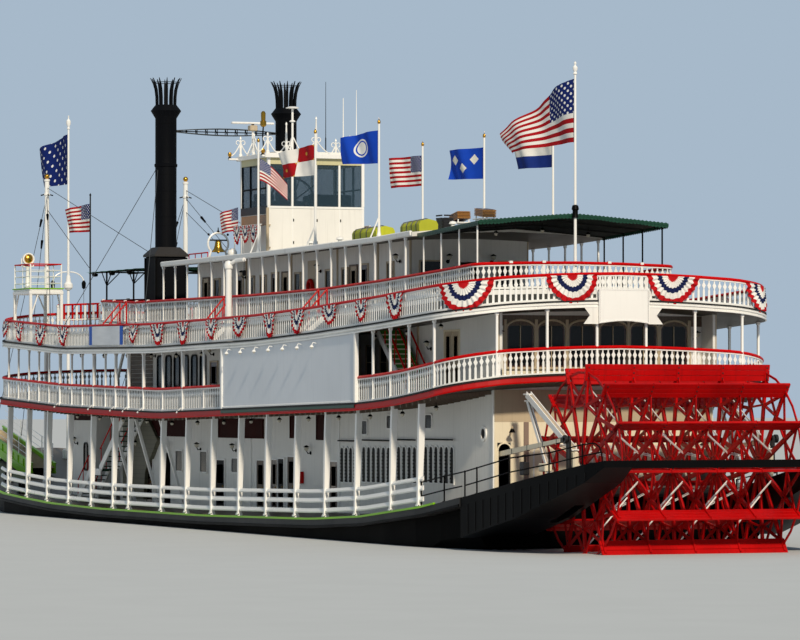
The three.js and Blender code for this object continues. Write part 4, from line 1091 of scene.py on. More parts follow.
@build("after_stair", "after_stairs", slot="green_paint", both=True)
def after_stair(piece):
    """Green stair with cream nosings and red handrails, climbing forward to the hurricane deck."""
    y0, y1 = 4.72, 5.72
    low = Vector((11.95, 0, BOILER.top(11.95, 5.2) + 0.06))
    high = Vector((15.0, 0, HURRICANE.under(15.0, 5.2) - 0.12))
    for y in (y0 + 0.03, y1 - 0.03):
        look = TRIM if y > 5 else STEP_GREEN
        piece.bar(low + Vector((0, y, 0.02)), high + Vector((0, y, 0.02)), 0.06, 0.26, look)
        piece.rods([low + Vector((0.1, y, 0.96)), high + Vector((-0.75, y, 0.4))], 0.04, RED, 8)
    middle = (y0 + y1) / 2
    piece.rods([low + Vector((0.1, middle, 0.96)), high + Vector((-0.75, middle, 0.4))], 0.035, RED, 8)
    for y in (y0 + 0.03, middle, y1 - 0.03):
        for share in (0.04, 0.42, 0.75):
            foot = low.lerp(high, share) + UP * 0.05
            head = min(0.88, HURRICANE.under(foot.x, y) - foot.z - 0.05)
            piece.rod(foot + Vector((0, y, 0)), foot + Vector((0, y, head)), 0.022, RED, 6)
    count = 13
    rise = (high.z - low.z) / count
    # Of each step: its tread, its nosing and its riser
    parts = ((-0.12, 0.13, 0, 0.03, STEP_GREEN), (-0.15, -0.12, -0.01, 0.045, CREAM),
             (0.1, 0.12, 0.03, rise, STEP_GREEN))
    for i in range(count):
        at = low.lerp(high, (i + 0.5) / count)
        for u0, u1, z0, z1, look in parts:
            piece.box((at.x + u0, y0 + 0.06, at.z + z0), (at.x + u1, y1 - 0.06, at.z + z1), look)


@build("wheel_h_braces", "wheel_brace", both=True)
def wheel_braces(piece):
    """Two rolled-steel braces from the boiler deck's after end down to the wheel's timber."""
    y = 3.98
    for high_z, foot_u, foot_z, half, depth in ((5.85, 0.0, 3.8, 0.11, 0.24), (5.6, 1.9, 2.52, 0.07, 0.16)):
        head, foot = Vector((4.12, y, high_z)), Vector((foot_u, y, foot_z))
        for side in (-1, 1):
            shift = Vector((0, side * (half - 0.02), 0))
            piece.bar(head + shift, foot + shift, 0.04, depth, TRIM, 0.008)
        # The web is buff, darker than the white flanges: painted shade of the recess between them, and dirt
        piece.bar(head, foot, 2 * half - 0.05, 0.03, BUFF)
        pad = Vector((0.16, half + 0.03, 0.03))
        for point in (head, foot):
            piece.box(point - pad, point + pad, TRIM, 0.01)


@build("engine_and_rod", "engine", slot="engine_iron", both=True)
def engine_rod(piece):
    """Engine bed and cylinder inside the house, and the timber rod with iron straps that it drives."""
    y = 4.34
    pin, head = Vector((0, y, 4.19)), Vector((9.5, y, 3.22))
    rings = []
    for share, half in ((0.035, 0.07), (0.3, 0.09), (0.5, 0.1), (0.7, 0.09), (0.975, 0.06)):
        centre = pin.lerp(head, share)
        rings.append([centre + Vector((0, a, b)) for a, b, _ in square(0.05, half, 0)])
    piece.loft(rings, CREAM)
    strap = Vector((0.03, 0.055, 0.11))
    for share in (0.07, 0.2, 0.35, 0.5, 0.65, 0.8, 0.93):
        centre = pin.lerp(head, share)
        piece.box(centre - strap, centre + strap, IRON, 0.01)
    eye = [(0.09, -0.05), (0.16, -0.05), (0.16, 0.05), (0.09, 0.05), (0.09, -0.05)]
    piece.turned(eye, pin, IRON, 20, (0, 1, 0))
    piece.bar(pin.lerp(head, 0.012), pin.lerp(head, 0.06), 0.08, 0.2, IRON, 0.01)
    floor_z = MAIN.top(11.5, 4.2) + 0.03
    piece.box((9.6, 4.06, floor_z), (13.7, 4.44, floor_z + 0.5), IRON, 0.04)
    cylinder = [(0, 0), (0.17, 0), (0.17, 0.1), (0.13, 0.14), (0.13, 1.9), (0.17, 1.94), (0.17, 2.04),
                (0, 2.04)]
    piece.turned(cylinder, (11.2, 4.25, 3.2), IRON, 20, (1, 0, 0))
    piece.box((11.1, 4.12, floor_z + 0.4), (13.3, 4.38, 3.1), IRON, 0.03)
    piece.rod((9.5, 4.3, 3.22), (11.25, 4.25, 3.2), 0.04, IRON, 12)


@build("stern_board_and_ribbons", "stern_sign")
def stern_board(piece):
    """Blank sign with an arched foot and a thin dark line, on two swallow-tailed white ribbons."""
    low, high, half = 8.54, 9.85, 1.05
    foot = [(half * (1 - 2 * i / 10), low + 0.1 * sin(pi * i / 10)) for i in range(11)]
    outline = [(-half, high), (half, high)] + foot
    outline = [(x, z - low) for x, z in outline][::-1]
    place = after_face(4.14, 0, low)
    piece.plate(outline, 0.07, TRIM, place, 0.05, 0.012, TRIM)
    line = [place @ Vector((x * 0.955, 0.03 + z * 0.955, 0.062)) for x, z in outline]
    piece.rods(line + line[:1], 0.009, BLACK, 4)
    for side in (-1, 1):
        tail = [(1.05, 0.0), (1.66, 0.0), (1.4, 0.33), (1.66, 0.66), (1.05, 0.66)]
        tail = [(x * side, z) for x, z in tail][::side]
        piece.plate(tail, 0.03, WHITE, after_face(4.19, 0, 8.52), 0.02, 0.005, WHITE)
        piece.rods([(4.14, side * 1.0, 9.78), (4.3, side * 1.0, 9.78)], 0.02, BLACK, 6)


def hanging_lamp(piece, u, y, z, length=0.35):
    """A pendant lamp: rod, cap and opal globe."""
    piece.rod((u, y, z), (u, y, z - length), 0.012, BLACK, 6)
    piece.turned([(0, 0.1), (0.05, 0.08), (0.11, 0.0), (0, 0.0)], (u, y, z - length), BLACK, 10)
    piece.ball((u, y, z - length - 0.04), 0.08, OPAL, 8)


@build("pendant_lamps", both=True)
def deck_lamps(piece):
    """Lamps under the two upper decks' guards and the canopy."""
    for i in range(14):
        u = 8.5 + i * 3.4
        hanging_lamp(piece, u, 5.7, HURRICANE.under(u, 5.7), 0.22)
        hanging_lamp(piece, u, 5.9, BOILER.under(u, 5.9) - 0.12, 0.2)


@build("cabin_fore_boards", both=True)
def cabin_fore_boards(piece):
    """Lapped boards on the cabin's side at its fore end, in the umber that is painted shade, and a sloping
    strut before them.
    """
    y = CABIN_SIDE
    sill, head = BOILER.top(47, y + 0.1) + 0.05, HURRICANE.under(47, y + 0.1) - 0.1
    count = int((head - sill) / 0.2)
    for i in range(count):
        z = sill + i * 0.2
        piece.box((45.6, y, z), (48.8, y + 0.035, z + 0.18), SHADE, 0.01)
    foot, top = (49.4, 5.3, BOILER.top(49.4, 5.3)), (47.6, 5.3, HURRICANE.under(47.6, 5.3) - 0.1)
    piece.bar(foot, top, 0.1, 0.14, TRIM)


@build("cabin_front")
def cabin_front(piece):
    sill = BOILER.top(48.9, 0) + 0.02
    for y in (-3.6, -2.4, 2.4, 3.6):
        sash(piece, fore_face(48.8, y, 6.15), 0.8, 1.5, BUFF, GLASS, 0.2)
    for y in (-1.24, 1.24):
        door(piece, fore_face(48.8, y, sill), 0.62, 2.1, BUFF, MAHOGANY, True)
    piece.box((48.8, -CABIN_SIDE, 7.95), (48.86, CABIN_SIDE, 8.1), TRIM, 0.01)


# Texas deck: its rail, the house on it, the roof's posts and the canopy over its after end
TEXAS_EDGE = deck_edge(TEXAS, *TEXAS_PLAN, 0.15)
TEXAS_POSTS = [15.6 + 1.633 * i for i in range(19)]
CANOPY_TOP = Surface("stern_canopy")


def texas_rail():
    """Built in two halves, which stand in for one CAD node."""
    piece = Piece("texas_deck_balustrade")
    balustrade(piece, TEXAS_EDGE, RED)
    for u in TEXAS_POSTS:
        point, _ = on_deck(TEXAS, u, 4.25, 0, 1)
        newel(piece, point, pi / 2, TEXAS_ROOF.under(u, 4.2) - point.z, 0.035)
    for u, y in ((8.45, 1.4), (8.45, 2.8), (54.35, 1.4), (54.35, 2.8)):
        newel(piece, Vector((u, y, TEXAS.top(u, y))), 0, 1.12, 0.05)
    for i in range(5):
        u = 47.2 + i * 1.65
        newel(piece, Vector((u, 4.25, TEXAS.top(u, 4.2))), 0, 1.12, 0.04)
    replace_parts(piece.done([], "white_paint", both=True), "texas_railing")


texas_rail()


@build("texas_deck_steps", both=True)
def deck_steps(piece):
    """Short red-railed steps between the hurricane deck and the texas deck, outside its edge."""
    for u in (24.2, 35.8, 50.2):
        low, high = HURRICANE.top(u, 5.0), TEXAS.top(u, 4.3)
        for i in range(4):
            z = low + (high - low) * (i + 1) / 4.6
            y = 5.25 - 0.2 * i
            piece.box((u - 0.45, y - 0.24, z - 0.04), (u + 0.45, y, z), GREEN)
        for side in (-0.48, 0.48):
            a, b = Vector((u + side, 5.3, low)), Vector((u + side, 4.45, high))
            piece.bar(a + UP * 0.1, b + UP * -0.05, 0.04, 0.2, TRIM)
            piece.rods([a, a + UP * 0.95, b + UP * 1.0, b], 0.035, RED)
            piece.rod(a.lerp(b, 0.5), a.lerp(b, 0.5) + UP * 0.95, 0.022, RED, 6)


@build("texas_house_fittings", both=True)
def texas_fittings(piece):
    """Doors and windows in buff frames and umber ones of painted shade along the texas house, with a
    lifebuoy and lamps.
    """
    y = 2.6
    items = [(21.2, "glass"), (24.1, "door"), (25.3, "leaf"), (26.3, "glass"), (28.2, "glass"),
             (30.2, "buoy"), (31.9, "glass"), (33.4, "leaf"), (34.7, "door"), (36.2, "glass"),
             (37.7, "glass"), (39.2, "door"), (40.7, "glass"), (42.2, "glass"), (43.7, "leaf")]
    for u, kind in items:
        sill = TEXAS.top(u, y + 0.1) + 0.03
        head = TEXAS_ROOF.under(u, y + 0.1)
        if kind == "glass":
            sash(piece, port_side(u, y, sill + 0.35), 0.62, 1.5, BUFF, GLASS, 0.03, 1, 0.06, 0.09)
        elif kind == "buoy":
            piece.box((u - 0.5, y, sill + 0.3), (u + 0.5, y + 0.03, head - 0.35), BUFF, 0.01)
            ring = [(0.26 + 0.09 * cos(a), 0.08 + 0.09 * sin(a)) for a in angles(4, 8)]
            piece.turned(ring, (u, y + 0.03, sill + 1.25), RED, 20, (0, 1, 0))
        else:
            # Shutters sit in umber frames: painted shade
            frame, leaf = (BUFF, MAHOGANY) if kind == "door" else (SHADE, BUFF)
            door(piece, port_side(u, y, sill), 0.76, 1.95, frame, leaf, kind == "door")
    corner_posts(piece, (19.06, 22.6, 27.2, 32.7, 38.4, 44.74), y, 0.07, TEXAS, TEXAS_ROOF)
    for u in (20.1, 29.1, 38.4):
        wall_lamp(piece, port_side(u, y + 0.04, TEXAS.top(u, y + 0.1) + 2.0))


@build("texas_house_end_faces")
def texas_ends(piece):
    """The texas house's after and forward faces."""
    sill = TEXAS.top(18.8, 0)
    for y in (-1.75, 1.75):
        sash(piece, after_face(19.0, y, sill + 0.5), 0.9, 1.3, BUFF, GLASS, 0.05, 1)
        wall_lamp(piece, after_face(19.0, y * 0.56, sill + 1.9))
        sash(piece, fore_face(44.8, y, sill + 0.4), 0.9, 1.3, BUFF, GLASS, 0.05, 1)
    piece.box((44.8, -0.45, TEXAS.top(44.9, 0)), (44.86, 0.45, TEXAS.top(44.9, 0) + 2.0), MAHOGANY, 0.015)


@build("texas_roof_gutter", both=True)
def roof_edge(piece):
    """Gutter boards along the texas roof's sides, and the flagpoles that stand inside them."""
    run = []
    for i in range(17):
        u = 14.9 + 30.2 * i / 16
        run.append((Vector((u, 4.3, TEXAS_ROOF.top(u, 4.25))), Vector((0, 1, 0))))
    piece.strip(run, [(0.0, -0.14), (0.05, -0.14), (0.07, 0.02), (0.02, 0.06), (-0.05, 0.03)], TRIM)
    y = ROOF_POLES_Y
    knob = [(0, 0), (0.05, 0.02), (0.07, 0.09), (0.05, 0.16), (0.015, 0.2), (0, 0.26)]
    for u in ROOF_POLES:
        foot = TEXAS_ROOF.top(u + 0.3, y)
        tall = 16.92 - foot
        pole = [(0, 0), (0.17, 0), (0.1, 0.1), (0.06, 0.3), (0.05, 0.9), (0.045, tall), (0, tall)]
        piece.turned(pole, (u, y, foot), TRIM, 12)
        piece.turned(knob, (u, y, 16.9), GOLD, 10)
        piece.bar((u, y, foot + 0.9), (u, 4.28, foot + 0.02), 0.04, 0.05, TRIM)


@build("corrugated_stern_canopy", "stern_canopy", slot="green_paint")
def stern_canopy(piece):
    """Corrugated ridged roof over the texas deck's after end, with a scalloped green edge."""
    aft, fore, half = 8.68, 14.8, 4.04
    columns, rows = 12, 96

    def height(u, y):
        inside = min(max(u, aft + 0.02), fore - 0.02)
        ridge, eave = (CANOPY_TOP.top(inside, place * 0.995) for place in (0, half))
        return ridge + (eave - 0.1 - ridge) * abs(y / half) ** 1.1

    top = []
    for i in range(columns + 1):
        u = aft + (fore - aft) * i / columns
        line = []
        for j in range(rows + 1):
            y = half * (2 * j / rows - 1)
            line.append(Vector((u, y, height(u, y) + (0.02 if j % 2 else -0.02))))
        top.append(line)
    rings = [line + [point - UP * 0.05 for point in reversed(line)] for line in top]
    piece.loft(rings, CANOPY)
    edges = [([line[-1] for line in reversed(top)], (0, 1, 0)), (top[0][::-1], (-1, 0, 0)),
             ([line[0] for line in top], (0, -1, 0))]
    tab = [(0.08 * cos(pi + pi * k / 5), -0.1 + 0.07 * sin(pi + pi * k / 5)) for k in range(6)]
    for points, outward in edges:
        out = Vector(outward)
        path = [(point, out) for point in points]
        piece.strip(path, [(-0.02, -0.07), (0.04, -0.07), (0.04, 0.02), (-0.02, 0.02)], GREEN)
        for point, _, _ in walk(path, 0.17, 0.08):
            hem = Matrix.Translation(point + out * 0.01) @ facing(0, 0, 0, out)
            piece.plate(tab + [(0.08, 0), (-0.08, 0)], 0.012, GREEN, hem)
    for u in (9.0, 10.8, 12.6, 14.4):
        for y in (-3.96, 3.96):
            foot = TEXAS.top(u, y * 1.03)
            head = height(u, y) - 0.05
            # Starboard posts are black and port ones white: the black is painted shade of posts seen
            # against the light
            piece.rod((u, y, foot), (u, y, head), 0.035, TRIM if y > 0 else BLACK, 8)
            piece.flange((u, y, foot), 0.08, 0.05, 0.05, TRIM)
        crown = [Vector((u, y, height(u, y) - 0.09)) for y in [0.99 * i - 3.96 for i in range(9)]]
        piece.rods(crown, 0.03, DARK, 6)
    for y in (-2.0, 0.0, 2.0):
        hanging_lamp(piece, 11.7, y, height(11.7, y) - 0.07, 0.3)


# Pilothouse: frames, panes, wheel and console, the crested roof and the aerials on it
PILOT_AFT, PILOT_FORE, PILOT_HALF = 36.5, 39.9, 2.26
PILOT_SILL, PILOT_HEAD, PILOT_TOP = 14.28, 16.15, 16.46


@build("pilothouse_walls_and_frames", "pilothouse")
def pilothouse_frames(piece):
    low, high, half, sill, head = PILOT_AFT, PILOT_FORE, PILOT_HALF, PILOT_SILL, PILOT_HEAD
    base = TEXAS_ROOF.top(low - 0.2, 1.0)
    for u in (low, high):
        for y in (-half, half):
            piece.post(u, y, 0.06, 0.06, base - 0.5, sill, TRIM, 0.01)
            piece.post(u, y, 0.07, 0.07, sill, PILOT_TOP, TRIM, 0.015)
        piece.box((u - 0.04, -half, base - 0.4), (u + 0.04, half, sill - 0.1), WHITE)
        piece.box((u - 0.05, -half, head), (u + 0.05, half, PILOT_TOP), STRAW, 0.01)
        piece.box((u - 0.07, -half, sill - 0.1), (u + 0.07, half, sill), TRIM, 0.01)
        for y in (-1.13, 0.0, 1.13):
            piece.post(u, y, 0.045, 0.05, sill, head, TRIM, 0.01)
    for y in (-half, half):
        side = 1 if y > 0 else -1
        piece.box((low, y - 0.04, base - 0.4), (high, y + 0.04, sill - 0.1), WHITE)
        piece.box((low, y - 0.05, head), (high, y + 0.05, PILOT_TOP), STRAW, 0.01)
        for shift, thick, end, z0, z1, look in ((0.02, 0.05, 0, sill - 0.35, sill, IRON),
                                                (0.04, 0.03, 0.1, 13.42, 13.9, TEAK)):
            at = y + side * shift
            piece.box((low + end, at - thick, z0), (high - end, at + thick, z1), look, 0.01)
        for u in (low + 0.09, 37.64, 38.77, high - 0.09):
            piece.post(u, y, 0.045, 0.045, sill, head, BLACK, 0.01)
        piece.box((low, y - 0.03, 15.05), (high, y + 0.03, 15.12), BLACK)
    piece.box((low, -half, 12.86), (high, half, 12.92), MAHOGANY)
    piece.box((low - 0.06, 0.0, base - 0.15), (low - 0.03, half, base + 0.08), GREEN)
    for y in (-1.13, 0.0, 1.13):
        piece.box((low - 0.055, y - 0.03, base), (low - 0.03, y + 0.03, sill - 0.1), TRIM)
        for z in (12.6, 13.6):
            piece.box((low - 0.065, y - 0.07, z), (low - 0.04, y - 0.02, z + 0.12), BLACK)
    piece.rod((low - 0.14, half + 0.1, base - 0.4), (low - 0.14, half + 0.1, 14.2), 0.07, BUFF, 12)
    for z in (12.4, 13.4):
        piece.box((low - 0.16, half - 0.05, z), (low - 0.04, half + 0.12, z + 0.05), BUFF)


@build("pilothouse_panes")
def pilothouse_glass(piece):
    """The panes, thin and clear enough to see the sky through both sides."""
    for u in (PILOT_AFT, PILOT_FORE):
        for y in (-1.7, -0.57, 0.57, 1.7):
            piece.post(u, y, 0.006, 0.5, PILOT_SILL, PILOT_HEAD, PANE)
    for y in (-PILOT_HALF, PILOT_HALF):
        for u in (37.07, 38.2, 39.33):
            piece.post(u, y, 0.52, 0.006, PILOT_SILL, PILOT_HEAD, PANE)


@build("pilothouse_wheel_and_console")
def pilothouse_inside(piece):
    """The steering wheel, a console with its hood, and the pilot's bench."""
    wheel_at = Vector((38.9, 0.2, 14.6))
    rim = [(1.02, -0.03), (1.1, -0.03), (1.1, 0.03), (1.02, 0.03), (1.02, -0.03)]
    piece.turned(rim, wheel_at, MAHOGANY, 32, (1, 0, 0))
    piece.turned([(0, -0.06), (0.16, -0.06), (0.16, 0.06), (0, 0.06)], wheel_at, BRASS, 16, (1, 0, 0))
    for i in range(10):
        a = 2 * pi * i / 10
        spoke = Vector((0, cos(a), sin(a)))
        piece.rod(wheel_at + spoke * 0.12, wheel_at + spoke * 1.36, 0.028, MAHOGANY, 6)
    piece.box((39.25, -1.9, 13.4), (39.75, 1.9, 14.62), MAHOGANY, 0.04)
    piece.box((39.35, -1.7, 14.62), (39.7, -0.6, 14.9), BLACK, 0.05)
    piece.box((39.35, 0.9, 14.62), (39.7, 1.8, 14.95), BLACK, 0.05)
    piece.box((37.0, -1.9, 13.5), (37.5, 0.2, 14.5), MAHOGANY, 0.05)
    piece.box((36.9, -1.9, 14.3), (37.05, 0.2, 14.85), BLACK, 0.05)


def finial(piece, u, y, height, across, reach=0.85):
    """A turned spire with a ball, between two scrolls that sweep down to the roof."""
    foot = Vector((u, y, 16.62))
    profile = [(0, 0), (0.09, 0), (0.09, 0.1), (0.05, 0.16), (0.065, 0.5), (0.03, height - 0.1),
               (0.05, height - 0.05), (0.03, height + 0.02), (0, height + 0.06)]
    piece.turned(profile, foot, TRIM, 10)
    across = Vector(across)
    for side in (-1, 1):
        sweep = []
        for i in range(9):
            share = i / 8
            sweep.append(foot + across * side * reach * share + UP * (0.62 * (1 - share) ** 1.8 + 0.04))
        piece.rods(sweep, 0.028, TRIM, 6)
        curl = [sweep[0] + across * side * (0.12 - 0.1 * cos(a)) + UP * 0.1 * sin(a) for a in angles(4, 6)]
        piece.rods(curl, 0.022, TRIM, 5)


@build("pilothouse_cresting")
def pilothouse_crest(piece):
    for u, y, height in ((36.45, 0, 1.65), (39.95, 0.1, 1.6)):
        finial(piece, u, y, height, (0, 1, 0), 0.75)
    for y in (2.32, -2.32):
        finial(piece, 38.2, y, 0.95, (1, 0, 0), 0.8)
    for u, y in ((36.45, 2.32), (36.45, -2.32), (39.95, 2.32), (39.95, -2.32)):
        finial(piece, u, y, 0.9, (0, 1 if y < 0 else -1, 0), 0.5)
    run = [(36.3, 2.46), (40.1, 2.46), (40.1, -2.46), (36.3, -2.46)]
    for a, b in zip(run, run[1:] + run[:1]):
        piece.bar((a[0], a[1], 16.53), (b[0], b[1], 16.53), 0.05, 0.19, TRIM, 0.01)
    knob = [(0, 0), (0.03, 0), (0.08, 0.06), (0.09, 0.14), (0.07, 0.21), (0, 0.24)]
    for side in (-1, 1):
        for u, reach in ((39.95, 2.9), (36.5, 2.6)):
            ends = sorted((2.4 * side, reach * side))
            piece.box((u - 0.1, ends[0], 16.48), (u + 0.1, ends[1], 16.56), TRIM, 0.01)
            y = side * (reach - 0.06)
            piece.flange((u, y, 16.56), 0.09, 0.05, 0.06, BLACK)
            piece.turned(knob, (u, y, 16.61), GOLD, 12)
    pole = Vector((38.0, 1.95, 16.7))
    bends = [pole + Vector(p) for p in ((0, 0, 0), (0, 0, 0.45), (0.08, 0, 0.8), (0, 0, 1.2))]
    piece.rods(bends, 0.035, BLACK, 8)
    piece.ball(pole + UP * 0.12, 0.1, GOLD, 12)
    horn = [(0, 0), (0.07, 0), (0.14, 0.06), (0.14, 0.26), (0.1, 0.28), (0.11, 0.62), (0.06, 0.7)]
    piece.turned(horn + [(0, 0.72)], pole + UP * 1.2, BRASS, 14)


@build("pilothouse_aerials", "radar_mast")
def pilothouse_aerials(piece):
    """The radar's post and motor box."""
    piece.rod((39.5, 1.9, 16.64), (39.5, 1.9, 17.84), 0.05, TRIM, 10)
    piece.box((39.32, 1.72, 17.8), (39.68, 2.08, 18.05), BUFF, 0.03)
    for side in (-1, 1):
        piece.rod((39.5, 1.9 + 0.3 * side, 16.64), (39.5, 1.9, 17.3), 0.025, TRIM, 6)


@build("disc_and_whip_aerials")
def more_aerials(piece):
    """A disc aerial on three legs and three whips on the pilothouse roof."""
    post = Vector((38.2, 0.47, 16.74))
    piece.rod(post, post + UP * 2.05, 0.05, TRIM, 10)
    for level, radius in ((1.42, 0.13), (2.03, 0.3)):
        disc = [(0, 0), (radius, 0.01), (radius + 0.01, 0.04), (radius * 0.6, 0.09), (0, 0.1)]
        piece.turned(disc, post + UP * level, TRIM, 20)
    for turn in (0.4, 2.5, 4.6):
        foot = post + Vector((0.45 * cos(turn), 0.45 * sin(turn), -0.05))
        piece.rod(foot, post + UP * 0.8, 0.028, TRIM, 6)
    for u, y, top, radius, look in ((38.5, -1.26, 20.05, 0.018, BLACK), (37.4, -1.68, 19.25, 0.03, TRIM),
                                    (36.6, -2.0, 19.57, 0.022, TRIM)):
        whip = [(0, 0), (0.08, 0), (0.05, 0.1), (radius * 1.6, 0.14), (radius * 1.6, 0.9), (radius, 0.92)]
        whip += [(radius * 0.6, top - 16.6), (0, top - 16.6)]
        piece.turned(whip, (u, y, 16.6), look, 8)


@build("radar_bar", "radar_scanner", body="radar_scanner")
def radar_bar(piece):
    a, b = (TO_FRAME.inverted() @ Vector(corner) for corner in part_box("radar_scanner"))
    middle = (a.z + b.z) / 2
    piece.box((a.x, a.y, middle - 0.03), (b.x, b.y, b.z), TRIM, 0.03)
    centre = (a + b) / 2
    piece.turned([(0, a.z - centre.z), (0.06, a.z - centre.z), (0.08, 0), (0, 0)], centre, IRON, 12)


# Chimneys, with their crowns, their spreader and their stays
@build("chimney_stack", "chimney", slot="chimney_black", both=True)
def chimney(piece):
    u, y = CHIMNEY_AT
    half = 0.75
    foot = foot_of(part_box("chimney_port"))
    piece.box((u - half, y - half, foot), (u + half, y + half, 12.33), STACK, 0.03)
    for corner_u, corner_y, _ in square(half, half, 0, u, y):
        piece.post(corner_u, corner_y, 0.05, 0.05, foot, 12.3, BLACK, 0.01)
    piece.loft([square(w, w, z, u, y) for w, z in ((0.84, 12.33), (0.84, 12.43), (0.52, 12.78))], SCORCHED)
    profile = [(0.505, 12.7), (0.505, 16.55), (0.54, 16.58), (0.55, 16.68), (0.505, 16.72), (0.505, 18.85),
               (0.72, 19.2), (0.5, 19.48), (0.47, 19.48), (0.47, 12.7), (0.505, 12.7)]
    piece.turned(profile, (u, y, 0), STACK, 28)
    blade = Piece("crown_blade")
    sections = ((0.47, 19.44, 0.06), (0.48, 19.85, 0.062), (0.52, 20.2, 0.06), (0.6, 20.48, 0.045),
                (0.73, 20.74, 0.01))
    blade.loft([square(0.018, wide, z, r) for r, z, wide in sections], STACK)
    piece.stamp(blade.mesh(), [spun((u, y, 0), 2 * pi * (i + 0.5) / 12) for i in range(12)])
    hoop = [(0.63, 20.52), (0.65, 20.52), (0.655, 20.55), (0.635, 20.55), (0.63, 20.52)]
    piece.turned(hoop, (u, y, 0), STACK, 28)
    seam = [(0.505, 0), (0.515, 0.01), (0.515, 0.03), (0.505, 0.04)]
    for z in (14.2, 15.4):
        piece.turned(seam, (u, y, z), STACK, 28)
    piece.box((u - 0.82, y - 0.25, 9.4), (u - 0.74, y + 0.25, 10.4), BLACK, 0.02)


@build("chimney_truss", "chimney_spreader", slot=None)
def spreader(piece):
    """A lens-shaped truss of four rods between the chimneys."""
    u, z, reach = CHIMNEY_AT[0], 18.26, 2.5

    def at(y, angle):
        swell = 0.05 + 0.17 * cos(pi / 2 * y / reach)
        return Vector((u + swell * cos(angle), y, z + swell * sin(angle)))

    stations = [-reach + reach * i / 5 for i in range(11)]
    diagonals = angles(4, 7)[1::2]
    for angle in diagonals:
        piece.rods([at(y, angle) for y in stations], 0.022, WIRE, 6)
    for y in stations[1:-1]:
        corners = [at(y, angle) for angle in diagonals]
        for a, b in zip(corners, corners[1:] + corners[:1]):
            piece.rod(a, b, 0.02, BLACK, 6)
        piece.rod(corners[0], corners[2], 0.02, BLACK, 6)
    piece.rod((u, -reach, z), (u, reach, z), 0.025, BLACK, 8)


def stay(piece, a, b, block=None, radius=0.016):
    """A taut wire, with a dark block at a share of its length."""
    a, b = Vector(a), Vector(b)
    piece.rod(a, b, radius, WIRE, 5)
    if block:
        centre = a.lerp(b, block)
        line = (b - a).normalized()
        piece.rod(centre - line * 0.22, centre + line * 0.22, 0.07, BLACK, 8, 0.045)


@build("stays_and_lifts", slot="engine_iron", both=True)
def rigging(piece):
    """Stays of the derrick masts and the chimneys, and the stages' lifts."""
    chimney_u = CHIMNEY_AT[0]
    head = (*MAST_AT, 15.9)
    stay(piece, head, (74.6, 3.15, 4.6), 0.12)
    stay(piece, head, (70.4, 3.15, 3.75), 0.2)
    stay(piece, head, (54.6, 6.6, HURRICANE.top(54.6, 6.6)), 0.15)
    stay(piece, (*MAST_AT, 16.3), (chimney_u, 3.6, 12.4))
    stay(piece, (*MAST_AT, 15.2), (56.6, 4.0, 12.0))
    for u in (41.0, 54.0):
        stay(piece, (chimney_u, 3.4, 16.62), (u, 6.7, HURRICANE.top(u, 6.7) + 0.1))


# Fore end: derrick masts, searchlights, awning frame, jackstaff, stages and the bow's fittings
@build("derrick_mast_and_fittings", "derrick_mast", both=True)
def derrick_mast(piece):
    u, y = MAST_AT
    foot = foot_of(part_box("derrick_mast_port"))
    profile = [(0, foot), (0.2, foot), (0.2, foot + 0.12), (0.14, foot + 0.2), (0.13, 9.0)]
    profile += [(0.115, 16.6), (0.15, 16.62), (0.15, 16.7), (0.05, 16.74), (0, 16.74)]
    piece.turned(profile, (u, y, 0), TRIM, 16)
    piece.ball((u, y, 16.86), 0.13, GOLD, 16)
    for z in (9.4, 12.1, 15.9):
        piece.turned([(0.11, z), (0.16, z), (0.16, z + 0.1), (0.11, z + 0.1)], (u, y, 0), TRIM, 16)
    for a, b in ((1, 0), (-1, 0), (0, 1), (0, -1)):
        inner, outer = (u + a * 0.12, y + b * 0.12, 15.95), (u + a * 0.32, y + b * 0.32, 15.9)
        piece.rod(inner, outer, 0.03, BLACK, 6)


